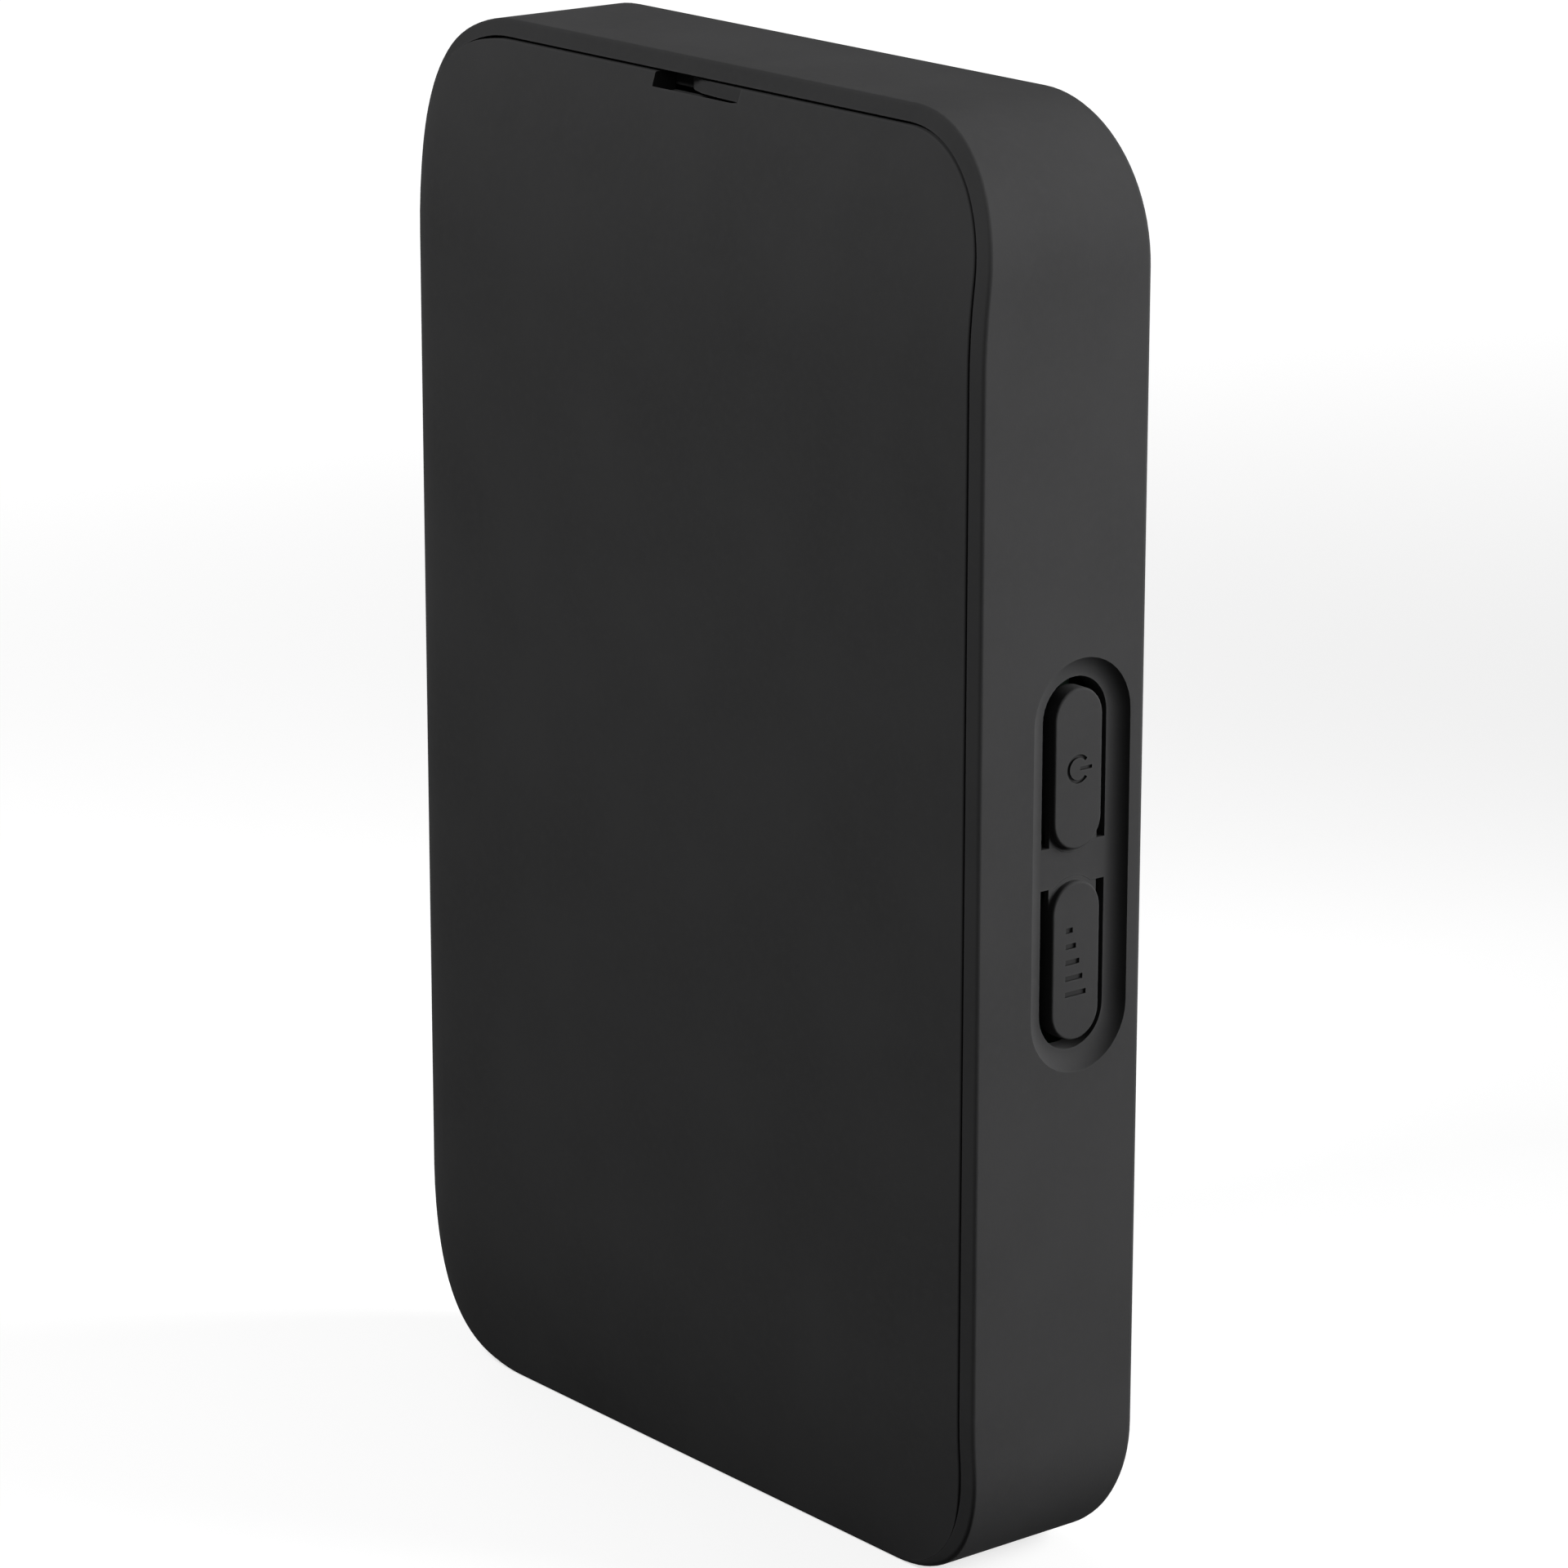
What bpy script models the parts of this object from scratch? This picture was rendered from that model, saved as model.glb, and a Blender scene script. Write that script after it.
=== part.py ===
"""A pocket mobile hotspot, standing upright, as the separate pieces it comes apart into.

Metres, +Z up. The battery cover faces -Y, the side keys face +X, and the origin is at the bottom centre.
"""

import math

import bmesh
import bpy
from mathutils import Matrix, Vector

# Overall form
BODY_WIDTH = 0.0640
BODY_HEIGHT = 0.1000
BODY_DEPTH = 0.0143
CORNER_RADIUS = 0.0104

# Fineness of the curved shapes, in steps
CORNER_STEPS = 8
CROWN_STEPS = 6
ROD_STEPS = 20
SLOT_STEPS = 8
PIN_STEPS = 6
LEAF_STEPS = 10
DRIVE_SIDES = 6
SMOOTH_ANGLE = math.radians(40)
WELD_DISTANCE = 0.000001
EMPTY_SIZE = 0.0030

# Clearances
GAP = 0.0003
SEAM = 0.0003
OVERCUT = 0.0010

# Crown of the cover's face: how far in it starts to roll back, and how far back it is at the edge
TOP_RUN = 0.0160
TOP_DROP = 0.0029
BOTTOM_RUN = 0.0140
BOTTOM_DROP = 0.0022
LEFT_RUN = 0.0070
LEFT_DROP = 0.0022

# Housing
WALL = 0.0024
FAR_PLATE = 0.0013
RIM_SIDE = 0.0016
RIM_TOP = 0.0013
RIM_STEP = 0.00035
BOSS_RADIUS = 0.0022
BOSS_WALL_GAP = 0.0006
POST_RADIUS = 0.0015
POST_INSET_X = 0.0100
POST_INSET_Z = 0.0160

# Battery cover
COVER_PLATE = 0.0012
COVER_SKIRT = 0.0015
SKIRT_REACH = 0.0012
LIP_HEIGHT = 0.0009
NOTCH_WIDTH = 0.0100
NOTCH_BACK = 0.0004
NOTCH_DEPTH = 0.0012
TAB_WIDTH = 0.0060
TAB_THICKNESS = 0.0010
TAB_FLOOR_GAP = 0.0005
TAB_SPACING = 0.0280

# Battery and its bay
BATTERY_EDGE = 0.0010
BATTERY_EDGE_STEPS = 3
BAY_CLEARANCE = 0.0004
BAY_WALL = 0.0012
BAY_TAB_GAP = 0.0027
BAY_SCREW_GAP = 0.0031
BAY_CARD_GAP = 0.0005
FRAME_FLOOR = 0.0010
CONTACT_COUNT = 3
CONTACT_PITCH = 0.0042
CONTACT_WIDTH = 0.0018
CONTACT_BOW = 0.0008
CONTACT_LEAF = 0.0003
BLOCK_MARGIN = 0.0024
BLOCK_LENGTH = 0.0040
BLOCK_DROP = 0.0009

# Electronics
PAD_THICKNESS = 0.0004
SHIELD_HEIGHT = 0.0011
SHIELD_SKIN = 0.0003
BOARD_THICKNESS = 0.0009
BOARD_STRIP_GAP = 0.0004
CHIP_SIDE_GAP = 0.0010
MODEM_WIDTH = 0.0240
MODEM_HEIGHT = 0.0260
RADIO_WIDTH = 0.0140
RADIO_HEIGHT = 0.0180
RADIO_TOP_INSET = 0.0080
POWER_WIDTH = 0.0140
POWER_HEIGHT = 0.0140
POWER_LOW_INSET = 0.0110
SIM_WIDTH = 0.0118
SIM_LENGTH = 0.0085
SIM_SKIN = 0.0002
SIM_TOP_INSET = 0.0012
SCREW_SHANK_RADIUS = 0.0007
SCREW_HEAD_RADIUS = 0.0016
SCREW_HEAD_HEIGHT = 0.0009
SCREW_LENGTH = 0.0042
SCREW_DRIVE_RADIUS = 0.0008
SCREW_DRIVE_DEPTH = 0.0005

# Side keys
KEY_RISE = 0.0005
KEY_LENGTH = 0.0109
KEY_WIDTH = 0.0041
KEY_SPACING = 0.0022
KEY_PLATE = 0.0010
KEY_PROUD = 0.00064
KEY_EDGE = 0.0002
KEY_EDGE_STEPS = 2
KEY_SLOT = 0.0007
KEY_BRIDGE = 0.0028
KEY_POST_RADIUS = 0.0009
KEY_POST_LENGTH = 0.0003
RECESS_TAPER = 0.0014
RECESS_DEPTH = 0.0008
SWITCH_WIDTH = 0.0046
SWITCH_LENGTH = 0.0030
SWITCH_SKIN = 0.00015
PLUNGER_WIDTH = 0.0018
PLUNGER_HEIGHT = 0.0006
PLUNGER_SEAT = 0.0008
PLUNGER_PLAY = 0.00015
PLUNGER_ROOM = 0.0006

# Indicators on the far face
LED_COUNT = 3
LED_PITCH = 0.0045
LED_SIZE = 0.0016
LED_HEIGHT = 0.0006
WINDOW_MARGIN = 0.0022
WINDOW_WIDTH = 0.0022
WINDOW_DROP = 0.0220
WINDOW_FLANGE = 0.0012

# Charging socket in the bottom
USB_WIDTH = 0.0090
USB_HEIGHT = 0.0032
USB_LENGTH = 0.0084
USB_SKIN = 0.0004
USB_BACK = 0.0009
USB_SET_IN = 0.0005
USB_CLEARANCE = 0.00025
USB_TAIL = 0.0020
USB_TAIL_WIDTH = 0.0060
USB_TAIL_THICKNESS = 0.0004
USB_TONGUE_SIDE_GAP = 0.0008
USB_TONGUE_THICKNESS = 0.0007
USB_TONGUE_SET_IN = 0.0010

# Antenna strips
STRIP_THICKNESS = 0.0003
STRIP_WIDTH = 0.0040
MAIN_STRIP_INSET = 0.0036
SECOND_STRIP_INSET = 0.0018
LAN_STRIP_LENGTH = 0.0280

# Levels from the far face at +Y towards the cover's face at -Y
FRONT_Y = -BODY_DEPTH / 2
FAR_Y = BODY_DEPTH / 2
PLATE_INNER_Y = FAR_Y - FAR_PLATE
USB_Y = PLATE_INNER_Y - GAP - USB_HEIGHT / 2
BOARD_BACK_Y = USB_Y - USB_TAIL_THICKNESS / 2 - GAP
BOARD_FRONT_Y = BOARD_BACK_Y - BOARD_THICKNESS
SHIELD_BACK_Y = BOARD_FRONT_Y - GAP
SHIELD_FRONT_Y = SHIELD_BACK_Y - SHIELD_HEIGHT
SWITCH_HEIGHT = PLUNGER_HEIGHT + 2 * PLUNGER_PLAY + 2 * SWITCH_SKIN
KEY_CENTRE_Y = SHIELD_BACK_Y - SWITCH_HEIGHT / 2
PAD_BACK_Y = SHIELD_FRONT_Y - GAP
PAD_FRONT_Y = PAD_BACK_Y - PAD_THICKNESS
FLOOR_BACK_Y = PAD_FRONT_Y - GAP
FLOOR_FRONT_Y = FLOOR_BACK_Y - FRAME_FLOOR
SCREW_SEAT_Y = FLOOR_FRONT_Y - GAP
BATTERY_BACK_Y = FLOOR_FRONT_Y - GAP
COVER_INNER_Y = FRONT_Y + COVER_PLATE
BATTERY_FRONT_Y = COVER_INNER_Y + GAP
BAY_FRONT_Y = BATTERY_FRONT_Y + GAP
BLOCK_FRONT_Y = BATTERY_FRONT_Y + BLOCK_DROP
BLOCK_BACK_Y = FLOOR_FRONT_Y - GAP
TAB_END_Y = FLOOR_FRONT_Y - TAB_FLOOR_GAP

# Places across the body
HALF_WIDTH = BODY_WIDTH / 2
MIDDLE_Z = BODY_HEIGHT / 2
INNER_X = HALF_WIDTH - WALL
INNER_TOP_Z = BODY_HEIGHT - WALL
CORNER_X = HALF_WIDTH - CORNER_RADIUS
BOSS_INSET = CORNER_RADIUS - (CORNER_RADIUS - WALL - BOSS_RADIUS - BOSS_WALL_GAP) / math.sqrt(2)
BOSS_X = HALF_WIDTH - BOSS_INSET
BOSS_ZS = (BOSS_INSET, BODY_HEIGHT - BOSS_INSET)
POST_X = HALF_WIDTH - POST_INSET_X
POST_ZS = (POST_INSET_Z, BODY_HEIGHT - POST_INSET_Z)
CHIP_EDGE_X = POST_X - POST_RADIUS - CHIP_SIDE_GAP
USB_BACK_Z = USB_SET_IN + USB_LENGTH
BOARD_X = INNER_X - GAP - STRIP_THICKNESS - BOARD_STRIP_GAP
BOARD_LOW_Z = max(BOSS_ZS[0] + BOSS_RADIUS, USB_BACK_Z) + GAP
BOARD_HIGH_Z = BOSS_ZS[1] - BOSS_RADIUS - GAP
SIM_TOP_Z = BOARD_HIGH_Z - SIM_TOP_INSET
SIM_LOW_Z = SIM_TOP_Z - SIM_LENGTH
TAB_OUTER_X = INNER_X - GAP
BAY_OUTER_X = TAB_OUTER_X - TAB_THICKNESS - BAY_TAB_GAP
BAY_LOW_Z = BOSS_ZS[0] + SCREW_HEAD_RADIUS + BAY_SCREW_GAP
BAY_HIGH_Z = SIM_LOW_Z - BAY_CARD_GAP
BATTERY_X = BAY_OUTER_X - BAY_WALL - BAY_CLEARANCE
BATTERY_LOW_Z = BAY_LOW_Z + BAY_WALL + BAY_CLEARANCE
BATTERY_TOP_Z = BAY_HIGH_Z - BAY_WALL - BAY_CLEARANCE
BLOCK_WIDTH = (CONTACT_COUNT - 1) * CONTACT_PITCH + CONTACT_WIDTH + 2 * BLOCK_MARGIN
BLOCK_LOW_Z = BATTERY_TOP_Z + GAP + CONTACT_BOW + GAP
WINDOW_LENGTH = (LED_COUNT - 1) * LED_PITCH + LED_SIZE + 2 * WINDOW_MARGIN
WINDOW_Z = BODY_HEIGHT - WINDOW_DROP
KEY_CENTRE_Z = MIDDLE_Z + KEY_RISE
KEY_PITCH = KEY_LENGTH + KEY_SPACING
RECESS_FLOOR_X = HALF_WIDTH - RECESS_DEPTH
KEY_OUTER_X = RECESS_FLOOR_X + KEY_PROUD
KEY_INNER_X = RECESS_FLOOR_X - KEY_PLATE
KEY_POST_END_X = KEY_INNER_X - KEY_POST_LENGTH
PLUNGER_TIP_X = KEY_POST_END_X - GAP
COVER_RIGHT_X = HALF_WIDTH - RIM_SIDE - SEAM
COVER_TOP_Z = BODY_HEIGHT - RIM_TOP - SEAM
COVER_MIDDLE_X = (COVER_RIGHT_X - HALF_WIDTH) / 2
NOTCH_LOW_Z = COVER_TOP_Z - COVER_SKIRT + NOTCH_BACK

# Finishes: colour, roughness, metallic
BLACK_PLASTIC = ((0.030, 0.030, 0.031), 0.48, 0.0)
COVER_PLASTIC = ((0.026, 0.026, 0.027), 0.52, 0.0)
KEY_PLASTIC = ((0.028, 0.028, 0.029), 0.50, 0.0)
FRAME_PLASTIC = ((0.060, 0.060, 0.062), 0.60, 0.0)
CELL_WRAP = ((0.120, 0.125, 0.130), 0.45, 0.0)
BOARD_GREEN = ((0.020, 0.110, 0.050), 0.45, 0.0)
TIN_PLATE = ((0.620, 0.620, 0.600), 0.35, 1.0)
STEEL = ((0.550, 0.550, 0.560), 0.30, 1.0)
GOLD_PLATE = ((0.830, 0.620, 0.250), 0.30, 1.0)
SOCKET_BLACK = ((0.015, 0.015, 0.016), 0.55, 0.0)
SOFT_GREY = ((0.350, 0.370, 0.380), 0.80, 0.0)
SMOKED_CLEAR = ((0.090, 0.095, 0.100), 0.15, 0.0)
LAMP_WHITE = ((0.850, 0.850, 0.800), 0.40, 0.0)
FLEX_AMBER = ((0.500, 0.240, 0.050), 0.45, 0.0)


def clear_scene():
    for obj in list(bpy.data.objects):
        bpy.data.objects.remove(obj, do_unlink=True)


def make_collection(name):
    collection = bpy.data.collections.new(name)
    bpy.context.scene.collection.children.link(collection)
    return collection


def finish(obj, look):
    """Gives a piece its own material, with its colour, roughness and metallic value."""
    colour, roughness, metallic = look
    material = bpy.data.materials.new(obj.name + "_finish")
    material.use_nodes = True
    shader = material.node_tree.nodes["Principled BSDF"]
    shader.inputs["Base Color"].default_value = (*colour, 1.0)
    shader.inputs["Roughness"].default_value = roughness
    shader.inputs["Metallic"].default_value = metallic
    obj.data.materials.append(material)
    return obj


def add_object(name, mesh, collection):
    obj = bpy.data.objects.new(name, mesh)
    collection.objects.link(obj)
    if collection is CUTTERS:
        obj.hide_render = True
        obj.display_type = "WIRE"
    return obj


def box(name, low, high, collection):
    """A block between two corners, with its origin at its middle."""
    low, high = Vector(low), Vector(high)
    mesh = bpy.data.meshes.new(name)
    shape = bmesh.new()
    bmesh.ops.create_cube(shape, size=1.0)
    bmesh.ops.scale(shape, vec=high - low, verts=shape.verts)
    shape.to_mesh(mesh)
    shape.free()
    obj = add_object(name, mesh, collection)
    obj.location = (low + high) / 2
    return obj


def rod(name, centre, radius, y_low, y_high, collection, steps=ROD_STEPS):
    """A round bar along Y, through (x, z)."""
    mesh = bpy.data.meshes.new(name)
    shape = bmesh.new()
    length = y_high - y_low
    bmesh.ops.create_cone(
        shape, cap_ends=True, segments=steps, radius1=radius, radius2=radius, depth=length
    )
    shape.to_mesh(mesh)
    shape.free()
    mesh.shade_smooth()
    mesh.set_sharp_from_angle(angle=SMOOTH_ANGLE)
    obj = add_object(name, mesh, collection)
    obj.rotation_euler = (math.radians(90), 0, 0)
    obj.location = (centre[0], (y_low + y_high) / 2, centre[1])
    return obj


def extruded(name, outline, axis, low, high, collection):
    """A flat outline given a thickness along an axis: (x, z) for Y, (y, z) for X, (x, y) for Z."""
    turn = {
        "X": Matrix(((0, 0, 1, 0), (1, 0, 0, 0), (0, 1, 0, 0), (0, 0, 0, 1))),
        "Y": Matrix(((0, 1, 0, 0), (0, 0, 1, 0), (1, 0, 0, 0), (0, 0, 0, 1))),
        "Z": Matrix.Identity(4),
    }[axis]
    curve = bpy.data.curves.new(name, "CURVE")
    curve.dimensions = "2D"
    curve.fill_mode = "BOTH"
    curve.extrude = (high - low) / 2
    spline = curve.splines.new("POLY")
    spline.points.add(len(outline) - 1)
    for point, (u, v) in zip(spline.points, outline):
        point.co = (v, u, 0, 1) if axis == "Y" else (u, v, 0, 1)
    spline.use_cyclic_u = True
    guide = add_object(name + "_outline", curve, collection)
    guide.matrix_world = turn @ Matrix.Translation((0, 0, (low + high) / 2))
    bpy.context.view_layer.update()
    graph = bpy.context.evaluated_depsgraph_get()
    mesh = bpy.data.meshes.new_from_object(guide.evaluated_get(graph))
    shape = bmesh.new()
    shape.from_mesh(mesh)
    bmesh.ops.remove_doubles(shape, verts=shape.verts, dist=WELD_DISTANCE)
    bmesh.ops.recalc_face_normals(shape, faces=shape.faces)
    shape.to_mesh(mesh)
    shape.free()
    mesh.name = name
    obj = add_object(name, mesh, collection)
    obj.matrix_world = guide.matrix_world
    bpy.data.objects.remove(guide, do_unlink=True)
    bpy.data.curves.remove(curve)
    return obj


def boolean(obj, other, operation):
    modifier = obj.modifiers.new(other.name, "BOOLEAN")
    modifier.operation = operation
    modifier.object = other


def cut(obj, *cutters):
    for cutter in cutters:
        boolean(obj, cutter, "DIFFERENCE")


def join(obj, *others):
    for other in others:
        boolean(obj, other, "UNION")


def bevel(obj, width, steps):
    modifier = obj.modifiers.new("rounded_edges", "BEVEL")
    modifier.width = width
    modifier.segments = steps
    modifier.limit_method = "ANGLE"


def carry(name, at, *pieces):
    """Hangs moving pieces on an empty that stands on their joint's axis."""
    empty = bpy.data.objects.new(name, None)
    PARTS.objects.link(empty)
    empty.location = at
    empty.empty_display_size = EMPTY_SIZE
    bpy.context.view_layer.update()
    for piece in pieces:
        piece.parent = empty
        piece.matrix_parent_inverse = empty.matrix_world.inverted()


def arc(centre, radius, start, end, steps):
    """Points of an arc in a plane, from a start angle to an end angle in degrees."""
    points = []
    for step in range(steps + 1):
        angle = math.radians(start + (end - start) * step / steps)
        points.append((centre[0] + radius * math.cos(angle), centre[1] + radius * math.sin(angle)))
    return points


def rounded_outline(low, high, radii):
    """A rectangle with rounded corners: radii of the right top, left top, left bottom, right bottom."""
    corners = (
        ((high[0], high[1]), (-1, -1), 0),
        ((low[0], high[1]), (1, -1), 90),
        ((low[0], low[1]), (1, 1), 180),
        ((high[0], low[1]), (-1, 1), 270),
    )
    points = []
    for (corner, inward, start), radius in zip(corners, radii):
        centre = (corner[0] + inward[0] * radius, corner[1] + inward[1] * radius)
        points += arc(centre, radius, start, start + 90, CORNER_STEPS)
    return points


def stadium(centre, length, width, steps=SLOT_STEPS):
    """A slot shape that is long along the plane's second axis."""
    radius = width / 2
    reach = length / 2 - radius
    upper = arc((centre[0], centre[1] + reach), radius, 0, 180, steps)
    lower = arc((centre[0], centre[1] - reach), radius, 180, 360, steps)
    return upper + lower


def flat_stadium(centre, length, width):
    """A slot shape that is long along the plane's first axis."""
    return [(u, v) for v, u in stadium((centre[1], centre[0]), length, width)]


def body_outline(inset):
    """The body's outline seen from the cover, drawn in by an inset."""
    edge = HALF_WIDTH - inset
    radius = CORNER_RADIUS - inset
    return rounded_outline((-edge, inset), (edge, BODY_HEIGHT - inset), (radius,) * 4)


def cover_outline(grow):
    """The cover's outline: inside the rim above and on the key side, out to the body elsewhere."""
    inner_radius = CORNER_RADIUS - RIM_SIDE - SEAM + grow
    outer_radius = CORNER_RADIUS + grow
    low = (-HALF_WIDTH - grow, -grow)
    high = (COVER_RIGHT_X + grow, COVER_TOP_Z + grow)
    return rounded_outline(low, high, (inner_radius, outer_radius, outer_radius, outer_radius))


def frame_outline():
    """The frame's outline, clear of the housing's walls and of the cover's skirt."""
    right = min(INNER_X, COVER_RIGHT_X - COVER_SKIRT) - GAP
    top = min(INNER_TOP_Z, COVER_TOP_Z - COVER_SKIRT) - GAP
    radius = CORNER_RADIUS - WALL - GAP
    skirt_radius = CORNER_RADIUS - RIM_SIDE - SEAM - COVER_SKIRT - GAP
    low = (-INNER_X + GAP, WALL + GAP)
    return rounded_outline(low, (right, top), (skirt_radius, radius, radius, radius))


def roll(distance, run, drop):
    """How far a face has rolled back, along an arc, at a distance from its edge."""
    past = run - max(distance, 0.0)
    if past <= 0:
        return 0.0
    radius = (run**2 + drop**2) / (2 * drop)
    return radius - math.sqrt(radius**2 - past**2)


def crown_y(x, z):
    """The cover's face at a place across the body."""
    left = roll(x + HALF_WIDTH, LEFT_RUN, LEFT_DROP)
    top = roll(BODY_HEIGHT - z, TOP_RUN, TOP_DROP)
    bottom = roll(z, BOTTOM_RUN, BOTTOM_DROP)
    return FRONT_Y + left + top + bottom


def skirt_end_y():
    """Where the cover's skirt ends, past the place where its edge is farthest back."""
    return max(crown_y(x, z) for x, z in body_outline(0)) + SKIRT_REACH


def ledge_y():
    return skirt_end_y() + GAP


def stations(low, high, low_run, high_run):
    """Places along one side, close together where the face rolls back."""
    places = [low - OVERCUT]
    if low_run:
        places += [low + low_run * step / CROWN_STEPS for step in range(CROWN_STEPS + 1)]
    if high_run:
        places += [high - high_run * (1 - step / CROWN_STEPS) for step in range(CROWN_STEPS + 1)]
    places.append(high + OVERCUT)
    return places


def crowned_block(name, setback):
    """All that lies behind the crowned face, set back by a distance."""
    xs = stations(-HALF_WIDTH, HALF_WIDTH, LEFT_RUN, 0)
    zs = stations(0, BODY_HEIGHT, BOTTOM_RUN, TOP_RUN)
    shape = bmesh.new()
    bmesh.ops.create_grid(shape, x_segments=len(xs) - 1, y_segments=len(zs) - 1, size=1.0)
    for vert in shape.verts:
        x = xs[round((vert.co.x + 1) / 2 * (len(xs) - 1))]
        z = zs[round((vert.co.y + 1) / 2 * (len(zs) - 1))]
        vert.co = (x, crown_y(x, z) + setback, z)
    sides = bmesh.ops.extrude_face_region(shape, geom=shape.faces[:])
    for item in sides["geom"]:
        if isinstance(item, bmesh.types.BMVert):
            item.co.y = FAR_Y + OVERCUT
    bmesh.ops.recalc_face_normals(shape, faces=shape.faces)
    mesh = bpy.data.meshes.new(name)
    shape.to_mesh(mesh)
    shape.free()
    return add_object(name, mesh, CUTTERS)


def key_recess():
    """The chamfered stadium round both keys, wider outside than at its floor."""
    outer = RECESS_TAPER * (1 + OVERCUT / RECESS_DEPTH)
    centre = (KEY_CENTRE_Y, KEY_CENTRE_Z)
    floor_length = KEY_PITCH + KEY_LENGTH + 2 * KEY_SLOT
    floor_width = KEY_WIDTH + 2 * KEY_SLOT
    loops = (
        (RECESS_FLOOR_X, stadium(centre, floor_length, floor_width)),
        (HALF_WIDTH + OVERCUT, stadium(centre, floor_length + 2 * outer, floor_width + 2 * outer)),
    )
    shape = bmesh.new()
    edges = []
    for x, outline in loops:
        verts = [shape.verts.new((x, y, z)) for y, z in outline]
        ring = [shape.edges.new(pair) for pair in zip(verts, verts[1:] + verts[:1])]
        bmesh.ops.contextual_create(shape, geom=ring)
        edges += ring
    bmesh.ops.bridge_loops(shape, edges=edges)
    bmesh.ops.recalc_face_normals(shape, faces=shape.faces)
    mesh = bpy.data.meshes.new("key_recess")
    shape.to_mesh(mesh)
    shape.free()
    return add_object("key_recess", mesh, CUTTERS)


def key_middle_z(side):
    """Height of a key's middle: side is 1 for the upper key and -1 for the lower."""
    return KEY_CENTRE_Z + side * KEY_PITCH / 2


def key_root_z(side):
    return key_middle_z(side) - side * KEY_LENGTH / 2


def key_slot_outline(side):
    """The slot that frees a key from the wall, open round its tip and square at the bridge."""
    half = KEY_WIDTH / 2 + KEY_SLOT
    tip_z = key_middle_z(side) + side * (KEY_LENGTH - KEY_WIDTH) / 2
    root_z = KEY_CENTRE_Z + side * KEY_BRIDGE / 2
    tip = arc((KEY_CENTRE_Y, tip_z), half, 0, side * 180, SLOT_STEPS)
    return tip + [(KEY_CENTRE_Y - half, root_z), (KEY_CENTRE_Y + half, root_z)]


def key_openings():
    """Room for both keys through the side wall."""
    low_x = INNER_X - OVERCUT
    high_x = RECESS_FLOOR_X + OVERCUT
    found = []
    for side, name in ((1, "upper"), (-1, "lower")):
        centre = (KEY_CENTRE_Y, key_middle_z(side))
        snug = stadium(centre, KEY_LENGTH + 2 * GAP, KEY_WIDTH + 2 * GAP)
        found.append(extruded(name + "_key_room", snug, "X", low_x, high_x, CUTTERS))
        slot = key_slot_outline(side)
        found.append(extruded(name + "_key_slot", slot, "X", low_x, high_x, CUTTERS))
    return found


def boss_places():
    return [(side * BOSS_X, z) for z in BOSS_ZS for side in (-1, 1)]


def post_places():
    return [(side * POST_X, z) for z in POST_ZS for side in (-1, 1)]


def usb_outline(grow):
    return flat_stadium((0.0, USB_Y), USB_WIDTH + 2 * grow, USB_HEIGHT + 2 * grow)


def window_outline(grow):
    return flat_stadium((0.0, WINDOW_Z), WINDOW_LENGTH + 2 * grow, WINDOW_WIDTH + 2 * grow)


def cover_seat():
    """Room for the cover's skirt, round a low lip that stands inside it."""
    front_y = FRONT_Y - 2 * OVERCUT
    skirt = extruded("skirt_room", cover_outline(SEAM), "Y", front_y, ledge_y(), CUTTERS)
    lip_outline = cover_outline(-COVER_SKIRT - GAP)
    lip_y = ledge_y() - LIP_HEIGHT
    cut(skirt, extruded("lip", lip_outline, "Y", lip_y, ledge_y() + OVERCUT, CUTTERS))
    return skirt


def make_housing():
    """Far face, side walls and rim in one moulding, with bosses for the frame and posts for the board."""
    housing = extruded("main_housing", body_outline(0), "Y", FRONT_Y - OVERCUT, FAR_Y, PARTS)
    boolean(housing, crowned_block("rim_face", RIM_STEP), "INTERSECT")
    pocket = body_outline(WALL)
    cut(
        housing,
        extruded("housing_pocket", pocket, "Y", FRONT_Y - 2 * OVERCUT, PLATE_INNER_Y, CUTTERS),
        cover_seat(),
        key_recess(),
        *key_openings(),
        extruded("usb_opening", usb_outline(USB_CLEARANCE), "Z", -OVERCUT, WALL + OVERCUT, CUTTERS),
        extruded(
            "window_opening", window_outline(GAP), "Y", PLATE_INNER_Y - OVERCUT, FAR_Y + OVERCUT, CUTTERS
        ),
    )
    sunk_y = PLATE_INNER_Y + FAR_PLATE / 2
    for number, place in enumerate(boss_places(), 1):
        boss = rod(f"boss_{number}", place, BOSS_RADIUS, FLOOR_BACK_Y + GAP, sunk_y, CUTTERS)
        join(housing, boss)
    for number, place in enumerate(post_places(), 1):
        post = rod(f"board_post_{number}", place, POST_RADIUS, BOARD_BACK_Y + GAP, sunk_y, CUTTERS)
        join(housing, post)
    hole_radius = SCREW_SHANK_RADIUS + GAP
    hole_end_y = SCREW_SEAT_Y + SCREW_LENGTH + GAP
    for number, place in enumerate(boss_places(), 1):
        hole = rod(f"boss_hole_{number}", place, hole_radius, FLOOR_BACK_Y - OVERCUT, hole_end_y, CUTTERS)
        cut(housing, hole)
    finish(housing, BLACK_PLASTIC)


def snap_tab(side, middle_z):
    """A tab that hangs from the cover's inside, next to the housing's wall."""
    outer_x = side * TAB_OUTER_X
    inner_x = outer_x - side * TAB_THICKNESS
    root_y = crown_y(outer_x, middle_z) + COVER_PLATE / 2
    return box(
        f"snap_tab_{side}_{middle_z:.4f}",
        (min(outer_x, inner_x), root_y, middle_z - TAB_WIDTH / 2),
        (max(outer_x, inner_x), TAB_END_Y, middle_z + TAB_WIDTH / 2),
        CUTTERS,
    )


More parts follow.
